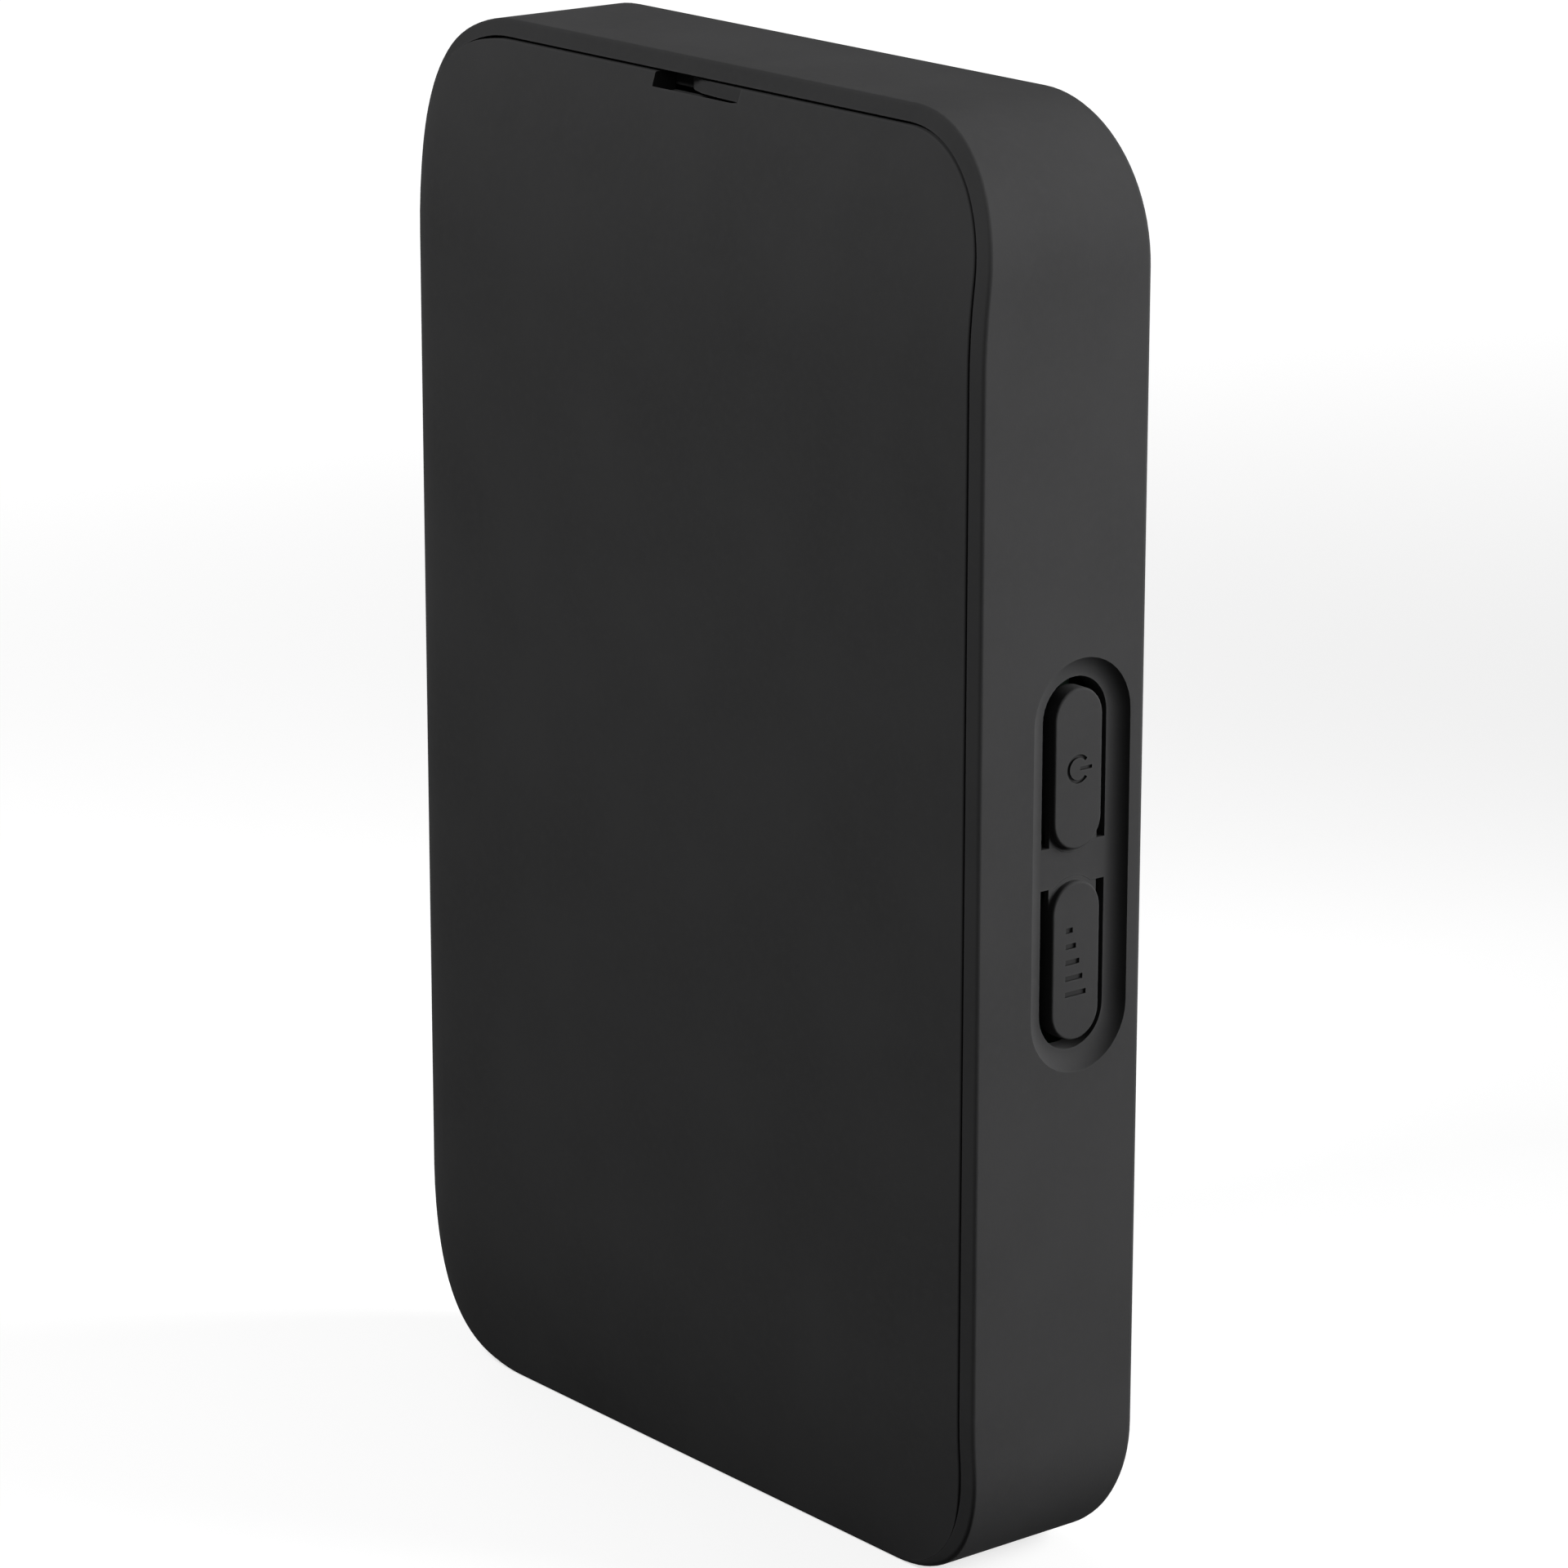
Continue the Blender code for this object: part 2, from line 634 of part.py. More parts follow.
def make_cover():
    """The crowned cover with its skirt, snap tabs and the pry notch in its top edge."""
    end_y = skirt_end_y()
    cover = extruded("battery_cover", cover_outline(0), "Y", FRONT_Y - OVERCUT, end_y, PARTS)
    boolean(cover, crowned_block("cover_face", 0), "INTERSECT")
    hollow = extruded(
        "cover_hollow", cover_outline(-COVER_SKIRT), "Y", FRONT_Y - OVERCUT, end_y + OVERCUT, CUTTERS
    )
    boolean(hollow, crowned_block("cover_inside", COVER_PLATE), "INTERSECT")
    cut(cover, hollow)
    notch_face_y = crown_y(COVER_MIDDLE_X, NOTCH_LOW_Z)
    notch = box(
        "pry_notch",
        (COVER_MIDDLE_X - NOTCH_WIDTH / 2, FRONT_Y - OVERCUT, NOTCH_LOW_Z),
        (COVER_MIDDLE_X + NOTCH_WIDTH / 2, notch_face_y + NOTCH_DEPTH, COVER_TOP_Z + OVERCUT),
        CUTTERS,
    )
    cut(cover, notch)
    for side in (-1, 1):
        for place in (-1, 1):
            join(cover, snap_tab(side, MIDDLE_Z + place * TAB_SPACING / 2))
    finish(cover, COVER_PLASTIC)
    carry("cover_slide", (COVER_MIDDLE_X, FRONT_Y, MIDDLE_Z), cover)


def make_frame():
    """The tray behind the cover: floor, battery bay, board posts and a window for the card socket."""
    frame = extruded("mid_frame", frame_outline(), "Y", FLOOR_FRONT_Y, FLOOR_BACK_Y, PARTS)
    bay = box(
        "bay_wall",
        (-BAY_OUTER_X, BAY_FRONT_Y, BAY_LOW_Z),
        (BAY_OUTER_X, FLOOR_FRONT_Y + FRAME_FLOOR / 2, BAY_HIGH_Z),
        CUTTERS,
    )
    room_x = BAY_OUTER_X - BAY_WALL
    cut(
        bay,
        box(
            "bay_room",
            (-room_x, BAY_FRONT_Y - OVERCUT, BAY_LOW_Z + BAY_WALL),
            (room_x, FLOOR_FRONT_Y, BAY_HIGH_Z - BAY_WALL),
            CUTTERS,
        ),
        box(
            "block_room",
            (-BLOCK_WIDTH / 2 - GAP, BAY_FRONT_Y - OVERCUT, BATTERY_TOP_Z),
            (BLOCK_WIDTH / 2 + GAP, FLOOR_FRONT_Y, BAY_HIGH_Z + OVERCUT),
            CUTTERS,
        ),
    )
    join(frame, bay)
    for number, place in enumerate(post_places(), 1):
        post = rod(
            f"frame_post_{number}",
            place,
            POST_RADIUS,
            FLOOR_BACK_Y - FRAME_FLOOR / 2,
            BOARD_FRONT_Y - GAP,
            CUTTERS,
        )
        join(frame, post)
    for number, place in enumerate(boss_places(), 1):
        hole_radius = SCREW_SHANK_RADIUS + GAP
        cut(
            frame,
            rod(
                f"frame_hole_{number}",
                place,
                hole_radius,
                FLOOR_FRONT_Y - OVERCUT,
                FLOOR_BACK_Y + OVERCUT,
                CUTTERS,
            ),
        )
    sim_low, sim_high = sim_corners()
    cut(
        frame,
        box(
            "card_window",
            (sim_low[0], FLOOR_FRONT_Y - OVERCUT, sim_low[1]),
            (sim_high[0], FLOOR_BACK_Y + OVERCUT, sim_high[1]),
            CUTTERS,
        ),
    )
    finish(frame, FRAME_PLASTIC)


def make_screws():
    """Pan-head screws through the frame into the housing's bosses."""
    seat_y = SCREW_SEAT_Y
    for number, place in enumerate(boss_places(), 1):
        screw = rod(
            f"frame_screw_{number}", place, SCREW_HEAD_RADIUS, seat_y - SCREW_HEAD_HEIGHT, seat_y, PARTS
        )
        shank = rod(
            f"screw_shank_{number}",
            place,
            SCREW_SHANK_RADIUS,
            seat_y - SCREW_HEAD_HEIGHT / 2,
            seat_y + SCREW_LENGTH,
            CUTTERS,
        )
        join(screw, shank)
        drive = rod(
            f"screw_drive_{number}",
            place,
            SCREW_DRIVE_RADIUS,
            seat_y - SCREW_HEAD_HEIGHT - OVERCUT,
            seat_y - SCREW_HEAD_HEIGHT + SCREW_DRIVE_DEPTH,
            CUTTERS,
            steps=DRIVE_SIDES,
        )
        cut(screw, drive)
        finish(screw, STEEL)


def make_battery():
    low = (-BATTERY_X, BATTERY_FRONT_Y, BATTERY_LOW_Z)
    battery = box("battery_pack", low, (BATTERY_X, BATTERY_BACK_Y, BATTERY_TOP_Z), PARTS)
    bevel(battery, BATTERY_EDGE, BATTERY_EDGE_STEPS)
    finish(battery, CELL_WRAP)
    carry("battery_slide", (0, BATTERY_FRONT_Y, (BATTERY_LOW_Z + BATTERY_TOP_Z) / 2), battery)


def make_contacts():
    """The block at the head of the bay, and the bowed leaves that press on the battery."""
    block = box(
        "contact_block",
        (-BLOCK_WIDTH / 2, BLOCK_FRONT_Y, BLOCK_LOW_Z),
        (BLOCK_WIDTH / 2, BLOCK_BACK_Y, BLOCK_LOW_Z + BLOCK_LENGTH),
        PARTS,
    )
    finish(block, SOCKET_BLACK)
    centre = ((BLOCK_FRONT_Y + BLOCK_BACK_Y) / 2, BLOCK_LOW_Z - GAP)
    outer = arc(centre, CONTACT_BOW, 180, 360, LEAF_STEPS)
    inner = arc(centre, CONTACT_BOW - CONTACT_LEAF, 360, 180, LEAF_STEPS)
    for number in range(1, CONTACT_COUNT + 1):
        x = (number - (CONTACT_COUNT + 1) / 2) * CONTACT_PITCH
        half = CONTACT_WIDTH / 2
        leaf = extruded(f"battery_contact_{number}", outer + inner, "X", x - half, x + half, PARTS)
        finish(leaf, GOLD_PLATE)


def make_board():
    low = (-BOARD_X, BOARD_FRONT_Y, BOARD_LOW_Z)
    board = box("main_board", low, (BOARD_X, BOARD_BACK_Y, BOARD_HIGH_Z), PARTS)
    finish(board, BOARD_GREEN)


def make_shield(name, low_x, low_z, width, height):
    """A thin can over a group of chips, open towards the board."""
    low = Vector((low_x, SHIELD_FRONT_Y, low_z))
    high = Vector((low_x + width, SHIELD_BACK_Y, low_z + height))
    shield = box(name, low, high, PARTS)
    skin = Vector((SHIELD_SKIN, SHIELD_SKIN, SHIELD_SKIN))
    room_high = high - skin
    room_high.y = SHIELD_BACK_Y + OVERCUT
    cut(shield, box(name + "_room", low + skin, room_high, CUTTERS))
    finish(shield, TIN_PLATE)


def make_shields():
    modem_z = MIDDLE_Z - MODEM_HEIGHT / 2
    make_shield("modem_shield", -CHIP_EDGE_X, modem_z, MODEM_WIDTH, MODEM_HEIGHT)
    radio_z = BOARD_HIGH_Z - RADIO_TOP_INSET - RADIO_HEIGHT
    make_shield("radio_shield", CHIP_EDGE_X - RADIO_WIDTH, radio_z, RADIO_WIDTH, RADIO_HEIGHT)
    power_z = BOARD_LOW_Z + POWER_LOW_INSET
    make_shield("power_shield", CHIP_EDGE_X - POWER_WIDTH, power_z, POWER_WIDTH, POWER_HEIGHT)


def make_thermal_pad():
    """The soft pad that takes the modem's heat into the frame."""
    inset = 2 * SHIELD_SKIN
    half_height = MODEM_HEIGHT / 2 - inset
    pad = box(
        "thermal_pad",
        (-CHIP_EDGE_X + inset, PAD_FRONT_Y, MIDDLE_Z - half_height),
        (-CHIP_EDGE_X + MODEM_WIDTH - inset, PAD_BACK_Y, MIDDLE_Z + half_height),
        PARTS,
    )
    finish(pad, SOFT_GREY)


def sim_corners():
    """The card socket's corners across the board."""
    return (-CHIP_EDGE_X, SIM_LOW_Z), (-CHIP_EDGE_X + SIM_WIDTH, SIM_TOP_Z)


def make_sim_socket():
    """A flat cage with a slot for the card along one end."""
    low, high = sim_corners()
    cage = box(
        "sim_socket",
        (low[0], SHIELD_FRONT_Y, low[1]),
        (high[0], SHIELD_BACK_Y, high[1]),
        PARTS,
    )
    slot = box(
        "card_slot",
        (low[0] + SIM_SKIN, SHIELD_FRONT_Y + SIM_SKIN, low[1] - OVERCUT),
        (high[0] - SIM_SKIN, SHIELD_BACK_Y - SIM_SKIN, high[1] - SIM_SKIN),
        CUTTERS,
    )
    cut(cage, slot)
    finish(cage, TIN_PLATE)


def make_key(name, side):
    """One key: a raised stadium pad with a post behind it, swinging about its root at the bridge."""
    middle_z = key_middle_z(side)
    outline = stadium((KEY_CENTRE_Y, middle_z), KEY_LENGTH, KEY_WIDTH)
    key = extruded(name, outline, "X", KEY_INNER_X, KEY_OUTER_X, PARTS)
    bevel(key, KEY_EDGE, KEY_EDGE_STEPS)
    post_outline = arc((KEY_CENTRE_Y, middle_z), KEY_POST_RADIUS, 0, 360, 2 * PIN_STEPS)[:-1]
    post_sunk_x = KEY_INNER_X + KEY_PLATE / 2
    join(key, extruded(name + "_post", post_outline, "X", KEY_POST_END_X, post_sunk_x, CUTTERS))
    finish(key, KEY_PLASTIC)
    hinge_x = KEY_INNER_X + KEY_PLATE / 2
    carry(name + "_hinge", (hinge_x, KEY_CENTRE_Y, key_root_z(side)), key)


def make_switch(name, side):
    """A side-push switch on the board's edge, and the plunger that its key presses."""
    middle_z = key_middle_z(side)
    body = box(
        name + "_switch",
        (BOARD_X - SWITCH_LENGTH, SHIELD_BACK_Y - SWITCH_HEIGHT, middle_z - SWITCH_WIDTH / 2),
        (BOARD_X, SHIELD_BACK_Y, middle_z + SWITCH_WIDTH / 2),
        PARTS,
    )
    plunger_back_x = BOARD_X - PLUNGER_SEAT
    half = Vector((0, PLUNGER_HEIGHT / 2, PLUNGER_WIDTH / 2))
    play = Vector((0, PLUNGER_PLAY, PLUNGER_PLAY))
    back = Vector((plunger_back_x, KEY_CENTRE_Y, middle_z))
    tip = Vector((PLUNGER_TIP_X, KEY_CENTRE_Y, middle_z))
    room_back = Vector((plunger_back_x - PLUNGER_ROOM, KEY_CENTRE_Y, middle_z))
    cut(body, box(name + "_plunger_room", room_back - half - play, tip + half + play, CUTTERS))
    finish(body, TIN_PLATE)
    plunger = box(name + "_plunger", back - half, tip + half, PARTS)
    finish(plunger, SOCKET_BLACK)
    carry(name + "_plunger_slide", tip, plunger)


def make_keys():
    for name, side in (("power", 1), ("network", -1)):
        make_key(name + "_key", side)
        make_switch(name, side)


def make_indicators():
    """Lamps on the board's far side, behind one smoked light bar in the far face."""
    lamp_y = BOARD_BACK_Y + GAP
    for number in range(1, LED_COUNT + 1):
        x = (number - (LED_COUNT + 1) / 2) * LED_PITCH
        half = LED_SIZE / 2
        lamp = box(
            f"indicator_led_{number}",
            (x - half, lamp_y, WINDOW_Z - half),
            (x + half, lamp_y + LED_HEIGHT, WINDOW_Z + half),
            PARTS,
        )
        finish(lamp, LAMP_WHITE)
    flange_low_y = lamp_y + LED_HEIGHT + GAP
    flange_high_y = PLATE_INNER_Y - GAP
    flange_outline = window_outline(WINDOW_FLANGE)
    bar = extruded("light_bar", flange_outline, "Y", flange_low_y, flange_high_y, PARTS)
    bar_low_y = (flange_low_y + flange_high_y) / 2
    join(bar, extruded("light_bar_front", window_outline(0), "Y", bar_low_y, FAR_Y, CUTTERS))
    finish(bar, SMOKED_CLEAR)


def make_usb():
    """The charging socket: a drawn steel shell with its contact tongue inside."""
    shell = extruded("usb_shell", usb_outline(0), "Z", USB_SET_IN, USB_BACK_Z, PARTS)
    bore = extruded(
        "usb_bore", usb_outline(-USB_SKIN), "Z", USB_SET_IN - OVERCUT, USB_BACK_Z - USB_BACK, CUTTERS
    )
    cut(shell, bore)
    tail_low_y = BOARD_BACK_Y + GAP
    tail = box(
        "usb_tail",
        (-USB_TAIL_WIDTH / 2, tail_low_y, USB_BACK_Z - USB_BACK / 2),
        (USB_TAIL_WIDTH / 2, tail_low_y + USB_TAIL_THICKNESS, USB_BACK_Z + USB_TAIL),
        CUTTERS,
    )
    join(shell, tail)
    finish(shell, STEEL)
    tongue_x = USB_WIDTH / 2 - USB_SKIN - USB_TONGUE_SIDE_GAP
    tongue = box(
        "usb_tongue",
        (-tongue_x, USB_Y - USB_TONGUE_THICKNESS / 2, USB_SET_IN + USB_TONGUE_SET_IN),
        (tongue_x, USB_Y + USB_TONGUE_THICKNESS / 2, USB_BACK_Z - USB_BACK - GAP),
        PARTS,
    )
    finish(tongue, SOCKET_BLACK)


def make_antennas():
    """Flexible strips on the inner walls: along the top, beside the socket and on the left."""
    high_y = PLATE_INNER_Y - GAP
    low_y = high_y - STRIP_WIDTH
    half = CORNER_X - MAIN_STRIP_INSET
    top_z = INNER_TOP_Z - GAP
    strip = box("main_antenna", (-half, low_y, top_z - STRIP_THICKNESS), (half, high_y, top_z), PARTS)
    finish(strip, FLEX_AMBER)
    low_x = USB_WIDTH / 2 + GAP + STRIP_WIDTH / 2
    low_z = WALL + GAP
    strip = box(
        "second_antenna",
        (low_x, low_y, low_z),
        (CORNER_X - SECOND_STRIP_INSET, high_y, low_z + STRIP_THICKNESS),
        PARTS,
    )
    finish(strip, FLEX_AMBER)
    wall_x = -INNER_X + GAP
    half = LAN_STRIP_LENGTH / 2
    strip = box(
        "lan_antenna",
        (wall_x, low_y, MIDDLE_Z - half),
        (wall_x + STRIP_THICKNESS, high_y, MIDDLE_Z + half),
        PARTS,
    )
    finish(strip, FLEX_AMBER)


clear_scene()
PARTS = make_collection("mobile_hotspot")
CUTTERS = make_collection("cutters")
make_housing()
make_cover()
make_frame()
make_screws()
make_battery()
make_contacts()
make_board()
make_shields()
make_thermal_pad()
make_sim_socket()
make_keys()
make_indicators()
make_usb()
make_antennas()
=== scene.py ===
"""Looks of a pocket mobile hotspot, built round its packed frame and laid out as a Blender add-on.

Metres, +Z up. The battery cover faces -Y, the side keys face +X, and the origin is at the bottom centre.
"""

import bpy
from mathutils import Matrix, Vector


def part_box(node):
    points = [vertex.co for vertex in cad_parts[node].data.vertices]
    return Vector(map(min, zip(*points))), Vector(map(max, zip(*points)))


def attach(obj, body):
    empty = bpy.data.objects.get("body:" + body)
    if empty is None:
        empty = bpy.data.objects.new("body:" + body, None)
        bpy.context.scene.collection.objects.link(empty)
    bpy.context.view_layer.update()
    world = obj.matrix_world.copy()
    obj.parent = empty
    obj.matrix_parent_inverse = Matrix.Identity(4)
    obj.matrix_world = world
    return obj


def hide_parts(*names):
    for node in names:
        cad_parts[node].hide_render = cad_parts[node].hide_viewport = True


bl_info = {
    "name": "Pocket Hotspot",
    "version": (1, 0, 0),
    "blender": (4, 5, 0),
    "location": "3D View > Sidebar > Hotspot",
    "description": "Builds the housing, cover, keys and inner fittings of a pocket mobile hotspot",
    "category": "Add Mesh",
}

import math

import bmesh
import bpy
from bpy.props import FloatProperty, FloatVectorProperty, PointerProperty
from mathutils import Vector

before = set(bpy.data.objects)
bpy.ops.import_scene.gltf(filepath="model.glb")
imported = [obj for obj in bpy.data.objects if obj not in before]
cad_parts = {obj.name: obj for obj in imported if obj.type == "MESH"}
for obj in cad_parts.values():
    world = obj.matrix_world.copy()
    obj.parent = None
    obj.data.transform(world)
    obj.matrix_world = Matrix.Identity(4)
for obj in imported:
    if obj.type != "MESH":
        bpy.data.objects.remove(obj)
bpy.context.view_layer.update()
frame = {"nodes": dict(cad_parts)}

# Places that the frame gives
HOUSING_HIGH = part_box("main_housing")[1]
COVER_LOW, COVER_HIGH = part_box("battery_cover")
BATTERY_LOW, BATTERY_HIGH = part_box("battery_pack")
KEY_LOW, KEY_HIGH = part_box("power_key")
LOWER_KEY_LOW, LOWER_KEY_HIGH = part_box("network_key")
SOCKET_LOW, SOCKET_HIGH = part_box("usb_shell")
TONGUE_LOW, TONGUE_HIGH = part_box("usb_tongue")
BAR_LOW, BAR_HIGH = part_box("light_bar")
BOARD_BACK_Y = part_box("main_board")[1].y
THERMAL_PAD_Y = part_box("thermal_pad")[0].y
FRONT_Y = COVER_LOW.y
FAR_Y = HOUSING_HIGH.y
HALF_WIDTH = HOUSING_HIGH.x
HEIGHT = HOUSING_HIGH.z
KEY_Y = (KEY_LOW.y + KEY_HIGH.y) / 2
KEY_MIDDLES = ((KEY_LOW.z + KEY_HIGH.z) / 2, (LOWER_KEY_LOW.z + LOWER_KEY_HIGH.z) / 2)
KEYS_Z = sum(KEY_MIDDLES) / 2
KEY_LENGTH = KEY_HIGH.z - KEY_LOW.z
KEY_WIDTH = KEY_HIGH.y - KEY_LOW.y

# The frame leaves this much between pieces that rest on each other
SEAT_GAP = 0.0003
TRAY_BACK_Y = THERMAL_PAD_Y - SEAT_GAP

# Fineness of the curved shapes
SIDE_STEP = 0.0016
SMALL_STEP = 0.002
CORNER_STEPS = 22
EDGE_STEPS = 4
ROUND_STEPS = 32
STADIUM_STEPS = 20
OVERCUT = 0.0010
WELD = 0.000001
SMOOTH_ANGLE = math.radians(32)
EDGE_ANGLE = math.radians(45)
FACE_SHARES = (0.55, 0.60, 0.65, 0.69, 0.73, 0.77, 0.81, 0.85, 0.89, 0.92, 0.95, 0.975)


def length(name, description, default):
    """A property in metres."""
    return FloatProperty(
        name=name, description=description, default=default, unit="LENGTH", precision=5, min=0.0
    )


def amount(name, description, default, high=1.0):
    """A plain number from 0 up."""
    return FloatProperty(name=name, description=description, default=default, min=0.0, max=high)


def colour(name, description, default):
    """A colour as it is written in the materials."""
    return FloatVectorProperty(
        name=name, description=description, default=default, subtype="COLOR", size=3, min=0.0, max=1.0
    )


class HotspotForm(bpy.types.PropertyGroup):
    """Shape of the housing and its cover"""

    corner: length("Corner", "Radius of the body's four corners", 0.0104)
    wall: length("Wall", "Thickness of the side walls", 0.0024)
    far_plate: length("Far plate", "Thickness of the far face", 0.0013)
    rim_side: length("Side rim", "Width of the rim beside the cover", 0.0014)
    rim_top: length("Top rim", "Width of the rim above the cover", 0.0012)
    rim_step: length("Rim step", "How far the rim lies behind the cover's face", 0.0)
    snug_seam: length("Snug seam", "Width of the joint where it shows", 0.00018)
    closed_seam: length("Closed seam", "Width of the joint where it runs out", 0.00001)
    gap: length("Gap", "Room between other pieces", 0.0003)
    top_run: length("Top run", "Where the face starts to roll back, from the top", 0.0160)
    top_drop: length("Top drop", "How far the face has rolled back at the top", 0.0029)
    bottom_run: length("Bottom run", "Where the face starts to roll back, from the bottom", 0.0140)
    bottom_drop: length("Bottom drop", "How far the face has rolled back at the bottom", 0.0022)
    left_run: length("Left run", "Where the face starts to roll back, from the left", 0.0070)
    left_drop: length("Left drop", "How far the face has rolled back at the left", 0.0022)
    cover_plate: length("Cover plate", "Thickness of the cover's face", 0.0012)
    skirt: length("Skirt", "Thickness of the cover's skirt", 0.0015)
    skirt_reach: length("Skirt reach", "How far the skirt goes past the face's edge", 0.0012)
    lip: length("Lip", "Height of the lip inside the skirt", 0.0009)
    rest_gap: length("Rest gap", "Room between the cover's skirt and the ledge that it rests on", 0.00006)
    seam_edge: length("Seam edge", "Rounding of the cover's edge along the rim", 0.00014)
    left_edge: length("Left edge", "Rounding of the cover's edge where it wraps the left side", 0.0011)
    bottom_edge: length("Bottom edge", "Rounding of the cover's edge where it wraps the bottom", 0.0005)
    rim_edge: length("Rim edge", "Rounding of the rim's outer edge", 0.0003)
    rim_inner_edge: length("Rim inner edge", "Rounding of the rim's edge at the seam", 0.00012)
    far_edge: length("Far edge", "Rounding of the edge round the far face", 0.0005)
    notch_width: length("Notch width", "Width of the pry notch", 0.0092)
    notch_offset: length("Notch offset", "From the cover's middle to the notch's", 0.0008)
    notch_height: length("Notch height", "Height of the pry notch below the cover's top", 0.00075)
    notch_slit: length("Notch slit", "Height of the slit along the foot of the notch", 0.00003)
    notch_under: length("Notch undercut", "How far the slit goes down behind the cover's face", 0.00042)
    notch_end: length("Notch end", "How far the slit stops short of the shallow end", 0.0006)
    notch_deep: length("Notch depth", "Depth of the pry notch at its deep end", 0.0022)
    notch_shallow: length("Notch shallow end", "Depth of the pry notch at its other end", 0.00040)


class HotspotKeys(bpy.types.PropertyGroup):
    """Shape of the side keys and their recess"""

    recess_depth: length("Recess depth", "Depth of the recess round both keys", 0.0008)
    recess_cove: length("Recess cove", "Width of the hollow-curved side of the recess", 0.0014)
    slot: length("Slot", "Width of the slot that frees each key", 0.0007)
    bridge: length("Bridge", "Length of the wall left between the two slots", 0.0028)
    proud: length("Proud", "How far the keys stand out of the recess's floor", 0.00046)
    edge: length("Edge", "Rounding of the keys' edge", 0.00018)
    post: length("Post", "Radius of the post behind each key", 0.0009)
    web: length("Web", "Thickness of the thin hinge at each key's root", 0.00045)
    fit: length("Fit", "Room left round the thin hinge", 0.00002)
    mark_line: length("Mark line", "Width of the marks' lines", 0.00024)
    mark_depth: length("Mark depth", "Depth of the marks", 0.00015)
    ring: length("Ring", "Radius of the power mark's ring", 0.00086)


class HotspotFinish(bpy.types.PropertyGroup):
    """Colours and surface of the materials"""

    housing: colour("Housing", "Colour of the housing's plastic", (0.0325, 0.0325, 0.0330))
    cover: colour("Cover", "Colour of the cover's plastic", (0.0360, 0.0360, 0.0365))
    keys: colour("Keys", "Colour of the keys' plastic", (0.0325, 0.0325, 0.0330))
    # The keys' marks get painted shade: a near-black colour in place of the shade in their sunk lines.
    painted_mark_shade: colour("Mark shade", "Colour in the keys' marks", (0.0030, 0.0030, 0.0032))
    frame: colour("Frame", "Colour of the inner frame", (0.0600, 0.0600, 0.0620))
    wrap: colour("Wrap", "Colour of the battery's wrap", (0.1200, 0.1250, 0.1300))
    roughness: amount("Roughness", "Roughness of the black plastic", 0.88)
    specular: amount("Specular", "Strength of the black plastic's gloss", 0.012)
    grain: length("Grain", "Size of the moulded grain", 0.00016)
    relief: length("Relief", "Depth of the moulded grain", 0.00001)


class HotspotStage(bpy.types.PropertyGroup):
    """Camera, lights and floor"""

    azimuth: FloatProperty(
        name="Azimuth", description="Where the camera stands, from the front", default=math.radians(51.47),
        subtype="ANGLE",
    )
    elevation: FloatProperty(
        name="Elevation", description="How high the camera stands", default=math.radians(15.99),
        subtype="ANGLE",
    )
    distance: length("Distance", "From the camera to the middle of the body", 0.4248)
    lens: FloatProperty(name="Lens", description="Focal length in millimetres", default=141.34, min=1.0)
    shift_x: FloatProperty(name="Shift X", description="Sideways shift of the picture", default=0.0183)
    shift_y: FloatProperty(name="Shift Y", description="Upward shift of the picture", default=-0.0073)
    key_light: amount("Key light", "Strength of the light at the right", 0.44, 100.0)
    fill_light: amount("Fill light", "Strength of the light in front", 1.03, 100.0)
    back_light: amount("Back light", "Strength of the light behind, at the left", 0.45, 100.0)
    surround: amount("Surround", "Strength of the light from all round", 0.14, 10.0)
    floor: amount("Floor", "Brightness of the floor's paint", 0.40)
    floor_glow: amount("Floor glow", "What the floor adds near the body to read as white", 0.68)
    floor_glow_far: amount("Far floor glow", "What the floor adds farther off", 0.99)
    floor_bounce: amount("Floor bounce", "Brightness of the floor in the light that it throws back", 0.06)


# Outlines

# Turns of the outline, as its outward direction, over which the seam closes up and the edge grows
TOP_LEFT_CLOSING = (0.12, 0.45)
BOTTOM_RIGHT_CLOSING = (0.15, 0.65)
EDGE_GROWTH = (0.5, 1.0)


def arc(centre, radius, start, end, steps):
    """Points of an arc in a plane, from a start angle to an end angle in degrees."""
    points = []
    for step in range(steps + 1):
        angle = math.radians(start + (end - start) * step / steps)
        points.append(Vector((centre[0] + radius * math.cos(angle), centre[1] + radius * math.sin(angle))))
    return points


def stadium(centre, long, wide):
    """A slot shape that is long along the plane's second axis."""
    radius = wide / 2
    reach = long / 2 - radius
    upper = arc((centre[0], centre[1] + reach), radius, 0, 180, STADIUM_STEPS)
    return upper + arc((centre[0], centre[1] - reach), radius, 180, 360, STADIUM_STEPS)


def flat_stadium(centre, long, wide):
    """A slot shape that is long along the plane's first axis."""
    return [Vector((v, u)) for u, v in stadium((centre[1], centre[0]), long, wide)]


def rectangle(low, high):
    """The four corners of a plain rectangle, in order."""
    return [(low[0], low[1]), (high[0], low[1]), (high[0], high[1]), (low[0], high[1])]


def quarter_round(radius):
    """Steps of a rounded edge: how far each lies inside the wall, and how far short of the face."""
    steps = []
    for step in range(EDGE_STEPS + 1):
        angle = math.pi / 2 * step / EDGE_STEPS
        steps.append((radius * (1 - math.cos(angle)), radius * (1 - math.sin(angle))))
    return steps


